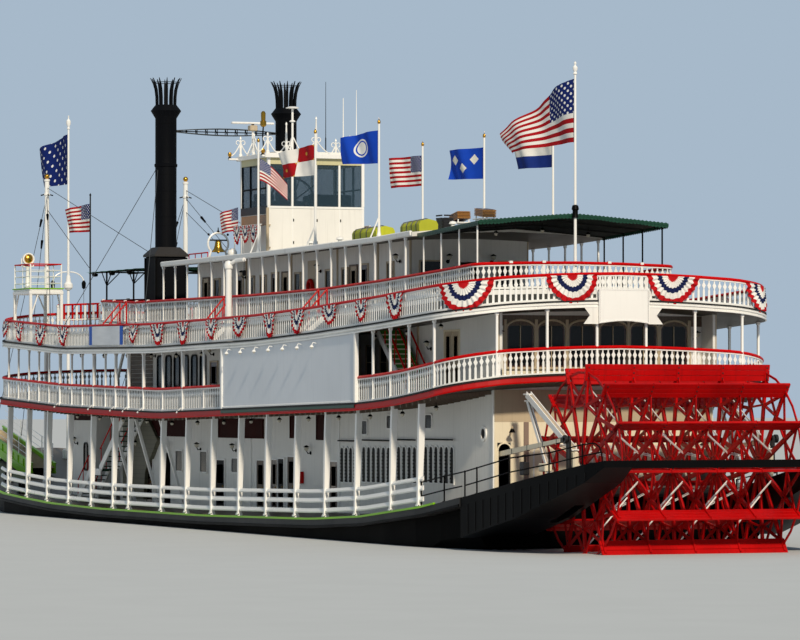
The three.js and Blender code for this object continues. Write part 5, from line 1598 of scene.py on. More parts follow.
@build("searchlight_stand", "searchlight_platform", both=True)
def light_platform(piece):
    """Railed platform on four posts, with a drum searchlight on a pedestal."""
    u0, u1, y0, y1, floor_z, rail_z = 59.3, 62.0, 4.5, 6.2, 10.96, 12.28
    piece.box((u0, y0, floor_z), (u1, y1, floor_z + 0.1), TRIM, 0.02)
    piece.box((u0 - 0.03, y0 - 0.03, floor_z - 0.16), (u1 + 0.03, y1 + 0.03, floor_z), TRIM, 0.02)
    piece.box((u0 - 0.04, y0 - 0.04, floor_z + 0.1), (u1 + 0.04, y1 + 0.04, floor_z + 0.15), LIME)
    corners = oblong(u0 + 0.06, u1 - 0.06, y0 + 0.06, y1 - 0.06)
    for (a, b), (c, d) in zip(corners, corners[1:] + corners[:1]):
        piece.post(a, b, 0.07, 0.07, HURRICANE.top(a, b), floor_z, TRIM, 0.015)
        piece.rod((a, b, floor_z), (a, b, rail_z), 0.04, TRIM, 8)
        middle = ((a + c) / 2, (b + d) / 2)
        piece.rod((*middle, floor_z), (*middle, rail_z), 0.025, TRIM, 6)
        for z in (11.35, 11.68, 11.98):
            piece.rod((a, b, z), (c, d, z), 0.018, TRIM, 6)
        piece.bar((a, b, rail_z), (c, d, rail_z), 0.07, 0.06, RED, 0.01)
        strut = (a, b, HURRICANE.top(a, b) + 1.2), ((3 * a + c) / 4, (3 * b + d) / 4, floor_z - 0.1)
        piece.bar(*strut, 0.06, 0.06, TRIM)
    u, y = 61.1, 5.75
    centre = Vector((u, y, 12.58))
    pedestal = [(0, floor_z + 0.1), (0.25, floor_z + 0.1), (0.12, floor_z + 0.3)]
    piece.turned(pedestal + [(0.08, 12.1), (0.12, 12.2), (0, 12.2)], (u, y, 0), TRIM, 16)
    for side in (-1, 1):
        fork = [(u, y, 12.18), (u, y + side * 0.3, 12.22), (u, y + side * 0.31, 12.6)]
        piece.rods(fork, 0.03, TRIM, 8)
    drum = [(0, -0.22), (0.2, -0.2), (0.27, -0.12), (0.27, 0.17), (0.3, 0.2), (0.24, 0.2), (0.22, 0.16)]
    piece.turned(drum, centre, TRIM, 20, (-1, 0, 0))
    piece.turned([(0.23, 0.15), (0.16, 0.21), (0, 0.25)], centre, GOLD, 20, (-1, 0, 0))


@build("fore_stair_rail")
def forward_rail(piece):
    """Raised rail across the hurricane deck's fore end, in red and white, at the stair's head."""
    for side in (-1, 1):
        ends = [Vector((62.6, side * y, HURRICANE.top(62.6, side * y))) for y in (1.5, 3.7)]
        for point in ends:
            newel(piece, point, 0, 1.5)
        piece.bar(ends[0] + UP * 1.5, ends[1] + UP * 1.5, 0.09, 0.09, RED, 0.01)
        piece.bar(ends[0] + UP * 0.75, ends[1] + UP * 0.75, 0.05, 0.05, TRIM)
        for i in range(10):
            foot = ends[0].lerp(ends[1], (i + 0.5) / 10)
            look = TRIM if i % 2 else RED
            piece.post(foot.x, foot.y, 0.02, 0.05, foot.z + 0.7, foot.z + 1.48, look)
    pole = Vector((*STAIR_POLE_AT, HURRICANE.top(*STAIR_POLE_AT)))
    profile = [(0, 0), (0.1, 0), (0.05, 0.12)]
    profile += [(r, top - pole.z) for r, top in ((0.035, 15.8), (0.06, 15.84), (0, 15.95))]
    piece.turned(profile, pole, IRON, 10)


@build("awning_frame", slot=None)
def awning_frame(piece):
    """Dark posts with Y-braces and rafters, under the canvas."""
    for u in (50.0, 54.0):
        for y in (-4.0, 4.0):
            foot = TEXAS.top(u, y)
            piece.rod((u, y, foot), (u, y, 11.76), 0.045, BLACK, 8)
            piece.flange((u, y, foot), 0.1, 0.06, 0.06, BLACK)
            for step in (-0.7, 0.7):
                piece.rod((u, y, 11.1), (u + step, y, 11.72), 0.025, BLACK, 6)
            piece.rod((u, y, 11.1), (u, y * 0.83, 11.76), 0.025, BLACK, 6)
        piece.rod((u, -4.15, 11.75), (u, 4.15, 11.75), 0.035, BLACK, 8)
    for y in (-4.0, -2.0, 0.0, 2.0, 4.0):
        piece.rod((49.35, y, 11.76), (56.65, y, 11.76), 0.03, BLACK, 8)
    for u in (50.6, 53.2, 55.8):
        piece.turned([(0, 0), (0.16, -0.02), (0.13, -0.14), (0, -0.16)], (u, 4.0, 11.74), BLACK, 12)


@build("jackstaff_and_lamps", "jackstaff")
def jackstaff(piece):
    low, u = foot_of(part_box("jackstaff")), JACKSTAFF_U
    staff = [(0, low), (0.09, low), (0.085, 8.0), (0.06, 14.0), (0.05, 19.75), (0.09, 19.8), (0.05, 19.88)]
    lantern = [(0.12, 20.05), (0.12, 20.2), (0.03, 20.32), (0.03, 20.42), (0.05, 20.46), (0, 20.5)]
    piece.turned(staff + lantern, (u, 0, 0), TRIM, 14)
    drum = [(0, 0), (0.14, 0), (0.24, 0.12), (0.24, 0.3), (0.14, 0.42), (0.1, 0.75), (0, 0.75)]
    piece.turned(drum, (u, 0, 11.35), TRIM, 16)
    piece.box((u - 0.24, -0.24, low), (u + 0.24, 0.24, low + 0.5), TRIM, 0.04)
    for side in (-1, 1):
        arm = [Vector((u, side * (0.1 + 0.75 * sin(a)), 11.75 + 0.55 * cos(a))) for a in angles(12, 6)]
        piece.rods(arm, 0.035, TRIM, 8)
        tip = arm[-1]
        lamp = [(0, 0.12), (0.05, 0.1), (0.12, -0.02), (0.1, -0.28), (0.04, -0.34), (0, -0.34)]
        piece.turned(lamp, tip, BLACK, 12)
        piece.rod(tip - UP * 0.3, (u, side * 0.85, 8.8), 0.012, WIRE, 5)


@build("ensign_staff_and_lantern", "ensign_staff")
def ensign_staff(piece):
    low, at = foot_of(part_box("ensign_staff")), (ENSIGN_STAFF_U, 0, 0)
    staff = [(0, low), (0.1, low), (0.07, low + 0.2), (0.055, 13.0), (0.045, 18.3), (0.09, 18.34)]
    head = [(0.05, 18.42), (0.1, 18.52), (0.1, 18.6), (0.03, 18.68), (0.06, 18.76), (0, 18.85)]
    piece.turned(staff + head, at, TRIM, 14)
    lantern = [(0.05, 12.72), (0.14, 12.74), (0.11, 12.82), (0.11, 13.02), (0.15, 13.06), (0.12, 13.2)]
    piece.turned(lantern + [(0.05, 13.24)], at, BLACK, 14)


@build("stage_girders_and_walk", "landing_stage", slot="green_paint", both=True)
def landing_stage(piece):
    """Lime girders on both sides of a plank walk, with white posts and wires."""
    heel, tip = Vector((66.6, 0, 2.15)), Vector((75.6, 0, 4.0))
    for y in (2.53, 3.77):
        at = Vector((0, y, 0))
        low, high = heel + at, tip + at
        bend = heel.lerp(tip, 0.18).x
        girder = [(heel.x, 1.85), (bend, 1.85), (tip.x, tip.z - 0.62)]
        girder += [(tip.x, tip.z + 0.22), (heel.x, heel.z + 0.22)]
        piece.loft([[(u, y + thick, z) for u, z in girder] for thick in (-0.03, 0.03)], LIME)
        for rise in (-0.22, 0.22):
            piece.bar(low + UP * rise, high + UP * rise, 0.14, 0.05, LIME)
        piece.rod((bend, y, 1.85), (tip.x, y, tip.z - 0.62), 0.035, LIME, 6)
        for i in range(10):
            foot = low.lerp(high, (i + 0.5) / 10)
            outer_y = foot.y + (0.05 if y > 3 else -0.05)
            piece.post(foot.x, outer_y, 0.03, 0.03, foot.z - 0.2, foot.z + 0.2, LIME)
            if i % 2 == 0:
                piece.rod(foot + UP * 0.2, foot + UP * 1.15, 0.025, TRIM, 6)
        for rise in (0.5, 0.82, 1.12):
            piece.rod(low.lerp(high, 0.04) + UP * rise, low.lerp(high, 0.96) + UP * rise, 0.014, TRIM, 5)
    count = 60
    for i in range(count):
        point = heel.lerp(tip, (i + 0.5) / count)
        piece.box(point + Vector((-0.065, 2.58, -0.02)), point + Vector((0.065, 3.72, 0.03)), BUFF)
    piece.bar(heel + Vector((0.5, 3.15, -0.2)), tip + Vector((-0.2, 3.15, -0.2)), 1.1, 0.05, BLACK)
    for y in (2.7, 3.6):
        foot = MAIN.top(67.4, y)
        piece.bar((67.4, y, foot), (67.4, y, 2.1), 0.3, 0.12, BLACK, 0.02)


@build("bow_fittings", slot="engine_iron")
def bow_fittings(piece):
    """Capstan, bitts and cleats on the open fore deck."""
    capstan = [(0, 0), (0.42, 0), (0.42, 0.08), (0.3, 0.12), (0.2, 0.35), (0.2, 0.6)]
    capstan += [(0.3, 0.78), (0.34, 0.82), (0.34, 0.95), (0.25, 1.02), (0, 1.04)]
    piece.turned(capstan, (69.5, 0, MAIN.top(69.5, 0)), IRON, 20)
    bitt = [(0, 0), (0.11, 0), (0.11, 0.5), (0.15, 0.54), (0.15, 0.62), (0, 0.64)]
    for u, y in ((71.2, 2.6), (66.0, 5.2), (60.5, 6.2), (71.2, -2.6), (66.0, -5.2), (60.5, -6.2)):
        foot = MAIN.top(u, y)
        for step in (-0.28, 0.28):
            piece.turned(bitt, (u + step, y, foot), BLACK, 12)
        piece.post(u, y, 0.5, 0.14, foot, foot + 0.06, BLACK, 0.01)


# On the texas roof and the decks: bell, steam organ, covered lockers, domes and davits
@build("bell_in_its_ring", "roof_bell", slot="bell_brass")
def roof_bell(piece):
    u, y = 43.8, 2.0
    foot = TEXAS_ROOF.top(u, y + 0.6)
    for side in (-1, 1):
        piece.post(u, y + side * 0.46, 0.16, 0.1, foot - 0.04, foot + 0.14, TRIM, 0.02)
        piece.ball((u, y + side * 0.47, foot + 1.16), 0.06, BLACK, 8)
    ring = [Vector((u, y - 0.5 * sin(a), foot + 0.74 - 0.5 * cos(a))) for a in angles(12, 21, 3)]
    ends = [Vector((u, y + side, foot + 0.05)) for side in (-0.46, 0.46)]
    piece.rods(ends[:1] + ring + ends[1:], 0.05, TRIM, 8)
    spike = [(0.04, 0), (0.08, 0.04), (0.03, 0.1), (0.02, 0.22), (0, 0.24)]
    piece.turned(spike, (u, y, foot + 1.26), BLACK, 8)
    profile = [(0, 0.62), (0.09, 0.62), (0.14, 0.55), (0.16, 0.4), (0.2, 0.25), (0.3, 0.12), (0.31, 0.09),
               (0.27, 0.09), (0.17, 0.24), (0.12, 0.4), (0, 0.5)]
    piece.turned(profile, (u, y, foot + 0.26), BRASS, 24)
    piece.rod((u, y - 0.48, foot + 0.9), (u, y + 0.48, foot + 0.9), 0.035, IRON, 8)
    piece.ball((u, y, foot + 0.34), 0.06, IRON, 8)


@build("steam_organ")
def steam_organ(piece):
    """Golden-brown hoods over the steam organ's brass pipes, on white stands, and a locker before them."""
    for u, tilt in ((20.0, 9), (17.4, -6)):
        base = TEXAS_ROOF.top(u, 0)
        hood = Matrix.Translation((u, 0, base + 0.62)) @ Matrix.Rotation(radians(tilt), 4, "Y")
        piece.box((-0.42, -0.27, 0.0), (0.42, 0.27, 0.32), MAHOGANY, 0.03, hood)
        for i in range(5):
            z = 0.01 + i * 0.062
            piece.box((-0.45, -0.3, z), (0.45, 0.3, z + 0.045), TEAK, 0.01, hood)
        for side_u in (-0.36, 0.36):
            leg = u + side_u
            for y in (-0.24, 0.24):
                piece.rod((leg, y, base - 0.02), (leg, y, base + 0.66), 0.03, TRIM, 8)
            piece.rod((leg, -0.24, base + 0.1), (leg, 0.24, base + 0.55), 0.02, TRIM, 6)
        piece.box((u - 0.5, -0.34, base + 0.5), (u + 0.5, 0.34, base + 0.55), TRIM, 0.01)
        for i in range(7):
            tall = 0.42 - 0.03 * i
            pipe = [(0, 0.08), (0.035, 0.08), (0.035, tall), (0, tall + 0.03)]
            piece.turned(pipe, (u - 0.36 + i * 0.12, 0.2, base), BRASS, 8)
    u, y = 18.05, 1.5
    base = TEXAS_ROOF.top(u, y + 0.25)
    piece.post(u, y, 0.36, 0.25, base - 0.03, 13.05, IRON, 0.03)
    for i in range(6):
        z = base + 0.1 + i * 0.12
        piece.box((u - 0.39, y - 0.2, z), (u - 0.35, y + 0.2, z + 0.06), IRON)
        piece.box((u - 0.3, y + 0.24, z), (u + 0.3, y + 0.28, z + 0.06), IRON)


@build("covered_roof_lockers", both=True)
def roof_lockers(piece):
    """Long lockers under yellow-green covers, strapped down, along both sides of the texas roof."""
    for aft, fore in ((16.2, 18.2), (20.8, 23.5)):
        u = (aft + fore) / 2
        base = TEXAS_ROOF.top(u, 3.4)
        tilt = (TEXAS_ROOF.top(fore, 3.0) - TEXAS_ROOF.top(aft, 3.0)) / (fore - aft)
        half = (fore - aft) / 2
        outline = [(-0.4, 0), (0.4, 0), (0.42, 0.36), (0.34, 0.5), (0.0, 0.58), (-0.34, 0.5), (-0.42, 0.36)]
        piece.loft([[(u + step, 3.0 + y, base - 0.02 + z + tilt * step) for y, z in outline]
                    for step in (-half, -half * 0.98, 0, half * 0.98, half)], COVER)
        for share in (-0.7, -0.2, 0.3, 0.8):
            step = share * half
            strap = [(u + step, 3.0 + y * 1.03, base + z * 1.02 + tilt * step) for y, z in outline[1:]]
            piece.rods(strap, 0.02, WIRE, 5)


@build("roof_domes_and_vents")
def roof_details(piece):
    """Domes, vents and a grab rail on the texas roof, before the pilothouse."""
    dome = [(0, 0), (0.12, 0), (0.12, 0.1), (0.22, 0.12), (0.23, 0.24), (0.17, 0.36), (0.07, 0.42)]
    vent = [(0, 0), (0.12, 0), (0.08, 0.08), (0.08, 0.3), (0.17, 0.33), (0.12, 0.42), (0, 0.45)]
    stands = [(41.5, 2.15, dome + [(0, 0.43)], 18)] + [(u, 1.6, vent, 12) for u in (17.0, 26.0, 29.5, 33.0)]
    for u, half, profile, sides in stands:
        for y in (-half, half):
            piece.turned(profile, (u, y, TEXAS_ROOF.top(u, y) - 0.01), TRIM, sides)
    rail = []
    for u in (41.6, 42.45, 43.3, 44.15):
        for y in (-3.3, 3.3):
            z = TEXAS_ROOF.top(u - 0.05, y)
            piece.rod((u, y, z), (u, y, z + 0.3), 0.022, RED, 6)
        rail.append((u, TEXAS_ROOF.top(u - 0.05, 3.3) + 0.3))
    for y in (-3.3, 3.3):
        piece.rods([(u, y, z) for u, z in rail], 0.03, RED, 8)


@build("davit_post", both=True)
def davit(piece):
    """Stout post with a rounded knuckle on the hurricane deck's edge."""
    u, y = 30.2, 6.45
    foot = HURRICANE.top(u, y)
    post = [(0, 0), (0.2, 0), (0.2, 0.1), (0.14, 0.16), (0.13, 3.1), (0.18, 3.14), (0.2, 3.3), (0.15, 3.44)]
    piece.turned(post + [(0, 3.5)], (u, y, foot), TRIM, 16)
    arm = [(u, y, foot + 3.3), (u - 0.4, y - 0.2, foot + 3.48), (u - 1.1, y - 0.3, foot + 3.5)]
    piece.rods(arm, 0.09, TRIM, 10)
    hook = Vector((u - 1.1, y - 0.3, foot + 3.0))
    piece.rod(arm[-1], hook, 0.02, WIRE, 6)
    block = [(0, 0.1), (0.08, 0.08), (0.08, -0.12), (0, -0.16)]
    piece.turned(block, hook - UP * 0.05, BLACK, 10)


# Cloth: bunting, flags, a banner and the fore awning, each one thin sheet with its pattern on its UV map
FLAG_WHITE, SPOT_WHITE, BRIGHT_BLUE = "#EDEBE6", "#F2F2EE", "#0F45BC"


def cloth_paint(name, pattern, rough=0.8):
    """A woven cloth whose colours `pattern` picks from the shares across and up it."""
    tree, shader, _ = start(name)
    uv = add(tree, "TexCoord", out=2)
    across, up = (add(tree, "SeparateXYZ", (uv,), i) for i in (0, 1))
    weathered(tree, shader, uv, pattern(tree, across, up), rough, 0.12, 0.05, "#77716a", 0.35)
    shader.inputs["Specular IOR Level"].default_value = 0.2
    return len(PALETTE) - 1


def span(tree, x, y):
    """The distance of a place from the middle."""
    squares = [add(tree, "Math MULTIPLY", (value, value)) for value in (x, y)]
    return add(tree, "Math SQRT", (add(tree, "Math ADD", squares),))


def dots(tree, across, up, pitch_x, pitch_y, size):
    """1 on round spots in staggered rows, 0 between them."""
    found = []
    for shift in (0.0, 0.5):
        sides = []
        for value, pitch, wide in ((across, pitch_x, pitch_x * 0.6), (up, pitch_y, pitch_y)):
            cell = add(tree, "Math FRACT", (add(tree, "Math MULTIPLY_ADD", (value, pitch, shift)),))
            sides.append(add(tree, "Math DIVIDE", (add(tree, "Math SUBTRACT", (cell, 0.5)), wide)))
        found.append(add(tree, "Math LESS_THAN", (span(tree, *sides), size)))
    return add(tree, "Math MAXIMUM", found)


def striped(tree, across, up):
    """Thirteen stripes, and a blue corner with white spots at the hoist's head."""
    stripe = add(tree, "Math FRACT", (add(tree, "Math MULTIPLY_ADD", (up, 6.5, 0.5)),))
    field = add(tree, "ValToRGB", (stripe,), stops=[(0.0, FLAG_WHITE), (0.5, "#A90A16")])
    near_hoist = add(tree, "Math LESS_THAN", (across, 0.4))
    corner = add(tree, "Math MULTIPLY", (near_hoist, add(tree, "Math GREATER_THAN", (up, 6 / 13))))
    spots = dots(tree, across, up, 13.75, 8.36, 0.021)
    blue = add(tree, "Mix", {0: spots, 6: hex_colour("#10246A"), 7: hex_colour(SPOT_WHITE)}, **COLOURS)
    return add(tree, "Mix", {0: corner, 6: field, 7: blue}, **COLOURS)


def spangled(tree, across, up):
    spots = dots(tree, across, up, 5.2, 4.4, 0.032)
    return add(tree, "Mix", {0: spots, 6: hex_colour("#0A226A"), 7: hex_colour(SPOT_WHITE)}, **COLOURS)


def quartered(tree, across, up):
    """Red and white quarters, with a small plain gold roundel on the red ones."""
    halves = [add(tree, "Math GREATER_THAN", (value, 0.5)) for value in (across, up)]
    odd = add(tree, "Math ABSOLUTE", (add(tree, "Math SUBTRACT", halves),))
    field = add(tree, "Mix", {0: odd, 6: hex_colour(FLAG_WHITE), 7: hex_colour("#A80C18")}, **COLOURS)
    gold = add(tree, "Mix", {0: odd, 6: field, 7: hex_colour("#C9963A")}, **COLOURS)
    return add(tree, "Mix", {0: dots(tree, across, up, 2.0, 2.0, 0.06), 6: field, 7: gold}, **COLOURS)


def roundel(tree, across, up):
    """Bright blue with a plain white ring and disc."""
    x = add(tree, "Math DIVIDE", (add(tree, "Math SUBTRACT", (across, 0.5)), 0.62))
    y = add(tree, "Math SUBTRACT", (up, 0.52))
    rings = [(0.0, "#EDEDE8"), (0.2, BRIGHT_BLUE), (0.25, "#EDEDE8"), (0.3, BRIGHT_BLUE)]
    return add(tree, "ValToRGB", (span(tree, x, y),), stops=rings)


def lozenges(tree, across, up):
    """Bright blue with three plain white lozenges."""
    tone = hex_colour(BRIGHT_BLUE)
    for x, y in ((0.26, 0.64), (0.78, 0.64), (0.52, 0.36)):
        sides = []
        for value, middle, half in ((across, x, 0.11), (up, y, 0.17)):
            gap = add(tree, "Math ABSOLUTE", (add(tree, "Math SUBTRACT", (value, middle)),))
            sides.append(add(tree, "Math DIVIDE", (gap, half)))
        inside = add(tree, "Math LESS_THAN", (add(tree, "Math ADD", sides), 1.0))
        tone = add(tree, "Mix", {0: inside, 6: tone, 7: hex_colour("#EDEBDF")}, **COLOURS)
    return tone


def fan_bands(tree, across, up):
    """Half rings from the fan's middle with sawtooth edges: red, white, blue, white and a red hem."""
    tooth = add(tree, "Math PINGPONG", (add(tree, "Math MULTIPLY", (across, 12.0)), 0.5))
    reach = add(tree, "Math MULTIPLY_ADD", (tooth, 0.09, add(tree, "Math SUBTRACT", (up, 0.02))))
    rings = [(0.0, "#C20F1A"), (0.2, "#EFEDE8"), (0.42, "#14204F"), (0.6, "#EFEDE8"), (0.81, "#BC0C16")]
    return add(tree, "ValToRGB", (reach,), stops=rings)


def two_bands(tree, _, up):
    return add(tree, "ValToRGB", (up,), stops=[(0.0, "#16307E"), (0.4, "#ECEAE4")])


def blue_ends(tree, across, _):
    return add(tree, "ValToRGB", (across,), stops=[(0.0, "#2B62C4"), (0.09, "#E9EBEE"), (0.91, "#2B62C4")])


def seamed(tree, across, _):
    """Green breadths with dark seams."""
    breadth = add(tree, "Math FRACT", (add(tree, "Math MULTIPLY", (across, 6.0)),))
    return add(tree, "ValToRGB", (breadth,), stops=[(0.0, "#124F37"), (0.02, "#1F7C56")])


# Sewn nylon and cotton: a soft matt bloom, its colours meeting in hard seams
STRIPED_CLOTH = cloth_paint("striped_flag_nylon", striped)
STAR_CLOTH = cloth_paint("dark_blue_spangled_nylon", spangled)
QUARTER_CLOTH = cloth_paint("red_and_white_quartered_nylon", quartered)
ROUNDEL_CLOTH = cloth_paint("blue_nylon_with_white_roundel", roundel)
LOZENGE_CLOTH = cloth_paint("blue_nylon_with_white_lozenges", lozenges)
TWO_BAND_CLOTH = cloth_paint("white_over_blue_nylon", two_bands)
FAN_CLOTH = cloth_paint("pleated_cotton_bunting", fan_bands, 0.85)
# Coated banner cloth, smoother than the bunting
BANNER_CLOTH = cloth_paint("white_banner_vinyl_with_blue_ends", blue_ends, 0.5)
AWNING_CLOTH = cloth_paint("green_acrylic_awning_cloth", seamed, 0.85)


def cloth(name, columns, rows, shape, material):
    """A sheet whose points, by their shares across and up it, are put in place by `shape`."""
    grid = bmesh.new()
    layer = grid.loops.layers.uv.new("cut")
    bmesh.ops.create_grid(grid, x_segments=columns, y_segments=rows, size=0.5)
    for face in grid.faces:
        for loop in face.loops:
            loop[layer].uv = (loop.vert.co.x + 0.5, loop.vert.co.y + 0.5)
    for vert in grid.verts:
        vert.co = TO_FRAME @ shape(vert.co.x + 0.5, vert.co.y + 0.5)
    mesh = bpy.data.meshes.new(name)
    grid.to_mesh(mesh)
    grid.free()
    mesh.materials.append(PALETTE[material])
    mesh.shade_smooth()
    made = link(name, mesh)
    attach(made, "root")
    return made


def flag(name, at, hoist, fly, turn, sag, material, staff, phase, waves):
    """A flag blown to a heading, its fly sagging: `sag` is (head, foot) per metre of fly."""
    at = Vector(at)
    wind = direction(turn, 0)
    side = Vector((-wind.y, wind.x, 0))

    def shape(across, up):
        reach = fly * across * 0.97
        head = -sag[0] * fly * across ** 1.35
        foot = -hoist - sag[1] * fly * across ** 1.35
        swing = sin(2 * pi * (waves * across + 0.3 * (1 - up)) + phase) * 0.08 * fly * across ** 0.6
        flutter = sin(2 * pi * (2.7 * waves * across - 0.6 * up) + phase * 2) * 0.02 * fly * across ** 0.8
        return at + wind * (0.06 + reach) + side * (swing + flutter) + UP * (foot + (head - foot) * up)

    return cloth(name, 48, 26, shape, material)


PORT, STARBOARD = "texas_roof_gutter_port", "texas_roof_gutter_starboard"
# Name, head of the hoist, hoist, fly, heading, sags, cloth, staff, phase and waves of its flutter
for settings in (
    ("ensign", (ENSIGN_STAFF_U, 0, 18.15), 2.47, 4.6, 13, (0.42, 0.06), STRIPED_CLOTH,
     "ensign_staff_and_lantern", 0.4, 1.3),
    ("jack_flag", (JACKSTAFF_U, 0, 19.5), 2.6, 3.4, 6, (0.18, 0.03), STAR_CLOTH,
     "jackstaff_and_lamps", 2.0, 1.0),
    ("port_after_flag", (19.3, 3.9, 16.65), 1.35, 2.2, 21, (0.1, -0.02), ROUNDEL_CLOTH, PORT, 0.2, 1.2),
    ("port_middle_flag", (26.5, 3.9, 16.45), 1.3, 2.35, 20, (0.12, 0.02), QUARTER_CLOTH, PORT, 1.2, 1.3),
    ("port_fore_flag", (33.4, 3.9, 16.2), 0.95, 1.25, -112, (0.9, 0.7), STRIPED_CLOTH, PORT, 0.8, 1.0),
    ("starboard_fore_flag", (33.4, -3.9, 16.5), 1.35, 2.1, 20, (0.02, 0.02), STRIPED_CLOTH, STARBOARD,
     0.9, 1.1),
    ("starboard_middle_flag", (26.5, -3.9, 16.5), 1.35, 2.3, 21, (0.02, -0.02), LOZENGE_CLOTH, STARBOARD,
     3.4, 1.1),
    ("starboard_after_flag", (19.3, -3.9, 16.6), 1.3, 2.3, 20, (0.04, 0.0), TWO_BAND_CLOTH, STARBOARD,
     1.9, 1.1),
    ("fore_stair_flag", (*STAIR_POLE_AT, 15.4), 1.4, 1.9, 21, (0.12, 0.0), STRIPED_CLOTH, "fore_stair_rail",
     1.6, 1.2),
    ("pilothouse_flag", (40.02, 2.36, 14.35), 1.05, 1.2, 24, (0.2, 0.1), STRIPED_CLOTH,
     "pilothouse_walls_and_frames", 2.6, 1.0),
):
    flag(*settings)

# Fans are placed by counting small steps along the foot of their rail, and tied to its top
RAIL_STEP, TIE_HEIGHT = 0.05, 1.0


def fan(name, edge, middle, radius, drop=1.0, lean=0.0, bunch=1.0):
    """A pleated half disc tied along a rail, with its middle at a number of the edge's small steps."""
    def shape(across, up):
        turn = pi * (1 - across)
        pleat = 1 + 0.012 * up * cos(26 * turn) + 0.03 * sin(3 * turn + middle) + 0.09 * sin(turn) ** 6
        side, low = radius * up * cos(turn) * pleat * bunch, radius * up * sin(turn) * pleat * drop
        step = middle - (side + lean * low) / RAIL_STEP
        first = edge[max(0, min(len(edge) - 2, int(step)))]
        second = edge[max(0, min(len(edge) - 1, int(step) + 1))]
        point = first[0].lerp(second[0], step - int(step))
        out = first[1].lerp(second[1], step - int(step)).normalized()
        fold = radius * up * (0.04 * cos(26 * turn + 1.5) + 0.03 * sin(5 * turn + middle))
        return point + out * (0.14 + fold) + UP * (TIE_HEIGHT - low)

    return cloth(name, 104, 9, shape, FAN_CLOTH)


def mirrored(edge):
    flip = Vector((1, -1, 1))
    return [(point * flip, out * flip, -heading) for point, out, heading in edge]


PORT_RAIL = walk(HURRICANE_EDGE, RAIL_STEP)
SIDE_FANS = (10.02, 13.55, 17.0, 20.59, 23.83, 27.43, 30.91, 34.51, 37.97, 41.27, 51.66, 55.08, 58.61, 61.0)


def near(edge, u, y):
    """The number of the step that comes nearest to a place."""
    gaps = [hypot(point.x - u, point.y - y) for point, _, _ in edge]
    return gaps.index(min(gaps))


for side, edge in (("port", PORT_RAIL), ("starboard", mirrored(PORT_RAIL))):
    sign = 1 if side == "port" else -1
    for count, u in enumerate(SIDE_FANS, 1):
        # The wind has bunched each side fan in its own way
        bunch, drop = 0.9 + 0.16 * sin(count * 2.3), 1.08 + 0.14 * sin(count * 1.7)
        lean = 0.25 * sin(count * 3.1)
        fan(f"side_fan_{side}_{count}", edge, near(edge, u, 6.86 * sign), 0.78, drop, lean, bunch)
    fan(f"stern_fan_{side}", edge, near(edge, 4.34, 2.1 * sign), 1.08, 0.9)
    fan(f"quarter_fan_{side}", edge, near(edge, 5.05, 6.15 * sign), 1.1, 0.92, 0.08)


@build("pilothouse_side_rails")
def pilothouse_fans(piece):
    """Short rails beside the pilothouse, and the bunting heaped on them."""
    rail_z, rests = 13.45, ["pilothouse_side_rails"]
    for y in (-2.62, 2.62):
        side = "port" if y > 0 else "starboard"
        foot = TEXAS_ROOF.top(38.2, y)
        for u in (36.6, 37.7, 38.8, 39.9):
            piece.rod((u, y, foot - 0.03), (u, y, rail_z), 0.03, TRIM, 8)
        piece.rod((36.5, y, rail_z), (40.0, y, rail_z), 0.03, TRIM, 8)
        out = Vector((0, 1 if y > 0 else -1, 0))
        edge = [(Vector((36.3 + RAIL_STEP * i, y, rail_z - TIE_HEIGHT)), out, 0) for i in range(80)]
        for count, middle in enumerate((17, 38, 59), 1):
            fan(f"pilothouse_fan_{side}_{count}", edge, middle, 0.58, 1.3, 0.1, 0.85)


def banner(across, up):
    """Laced to the outside of the hurricane deck's balustrade."""
    u = 42.7 + 4.9 * (1 - across)
    return Vector((u, 7.0 + 0.015 * sin(9 * across), HURRICANE.top(u, 6.6) + 0.1 + 0.86 * up))


cloth("side_banner", 40, 8, banner, BANNER_CLOTH)


def awning(across, up):
    """Stretched over the frame's rafters and higher in its middle."""
    u, y = 49.3 + 7.4 * across, 4.2 * (2 * up - 1)
    return Vector((u, y, 11.8 + 0.11 * cos(pi / 2 * (2 * up - 1)) + 0.012 * cos(12 * pi * across)))


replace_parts(cloth("fore_awning_cloth", 60, 24, awning, AWNING_CLOTH), "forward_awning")

# CAD nodes that stay as they are shown
PLAIN = {
    "hull": HULL, "main_deck": MAIN_DECK, "boiler_deck": BOILER_DECK, "hurricane_deck": HURRICANE_DECK,
    "texas_deck": TEXAS_DECK, "texas_roof": ROOF, "stern_canopy": CANOPY, "wheel_guard_beam": BLACK,
    "boilers": IRON,
}
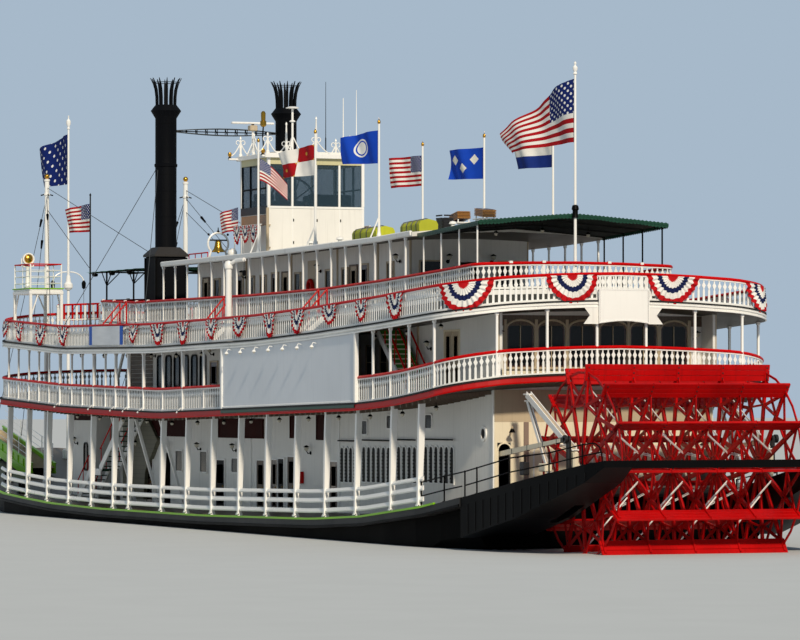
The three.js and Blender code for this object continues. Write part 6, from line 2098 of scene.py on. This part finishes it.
# The others go by a part of their name, or are white
BY_PART = {
    "wheel_frame": WHEEL_RED, "paddle": WHEEL_RED, "wheel_shaft": IRON, "chimney": STACK, "timber": BLACK,
    "pipe": BLACK, "engine": IRON, "rudder": IRON, "bell": BRASS, "landing": LIME, "stairs": GREEN,
    "awning": CANVAS,
}
for name, node in NODES.items():
    found = [look for part, look in BY_PART.items() if part in name]
    node.data.materials.clear()
    node.data.materials.append(PALETTE[PLAIN.get(name, (found + [WHITE])[0])])

# Pale floor at the waterline, a soft key from astern and an even pale sky
FLOOR_HALF = 90
floor_mesh = bpy.data.meshes.new("floor")
floor_shape = bmesh.new()
bmesh.ops.create_grid(floor_shape, x_segments=4, y_segments=4, size=FLOOR_HALF)
floor_shape.transform(Matrix.Translation((0, 0, WATER)))
floor_shape.to_mesh(floor_mesh)
floor_shape.free()
floor_tree, floor_shader, floor_coords = start("pale_studio_floor")
weathered(floor_tree, floor_shader, floor_coords, hex_colour("#CBCECF"), 0.95, 0.03, 0.0, "#bcc0c3", 0.0)
floor_shader.inputs["Specular IOR Level"].default_value = 0.0
floor_mesh.materials.append(PALETTE[-1])
floor_object = link("floor", floor_mesh)

SUN_HEADING, SUN_HEIGHT, SUN_BREADTH = 173, 34, 4
sun = link("key", bpy.data.lights.new("key", "SUN"))
sun.data.energy = 3.0
sun.data.angle = radians(SUN_BREADTH)
sun.data.color = hex_colour("#FFF1DA")[:3]
sun.rotation_euler = direction(SUN_HEADING, SUN_HEIGHT).to_track_quat("Z", "Y").to_euler()

# The camera sees the whole sky's tone, and the boat is lit by a softer share of it
SKY, SOFT_SHARE = hex_colour("#A7B9CA"), 0.62
world = bpy.data.worlds.new("studio")
bpy.context.scene.world = world
world.use_nodes = True
sky = world.node_tree
seen = add(sky, "LightPath", out="Is Camera Ray")
soft, whole = (add(sky, "Background", (SKY, strength)) for strength in (SOFT_SHARE, 1.0))
sky.links.new(add(sky, "MixShader", (seen, soft, whole)), sky.nodes["World Output"].inputs[0])
bpy.context.scene.view_settings.view_transform = "Standard"
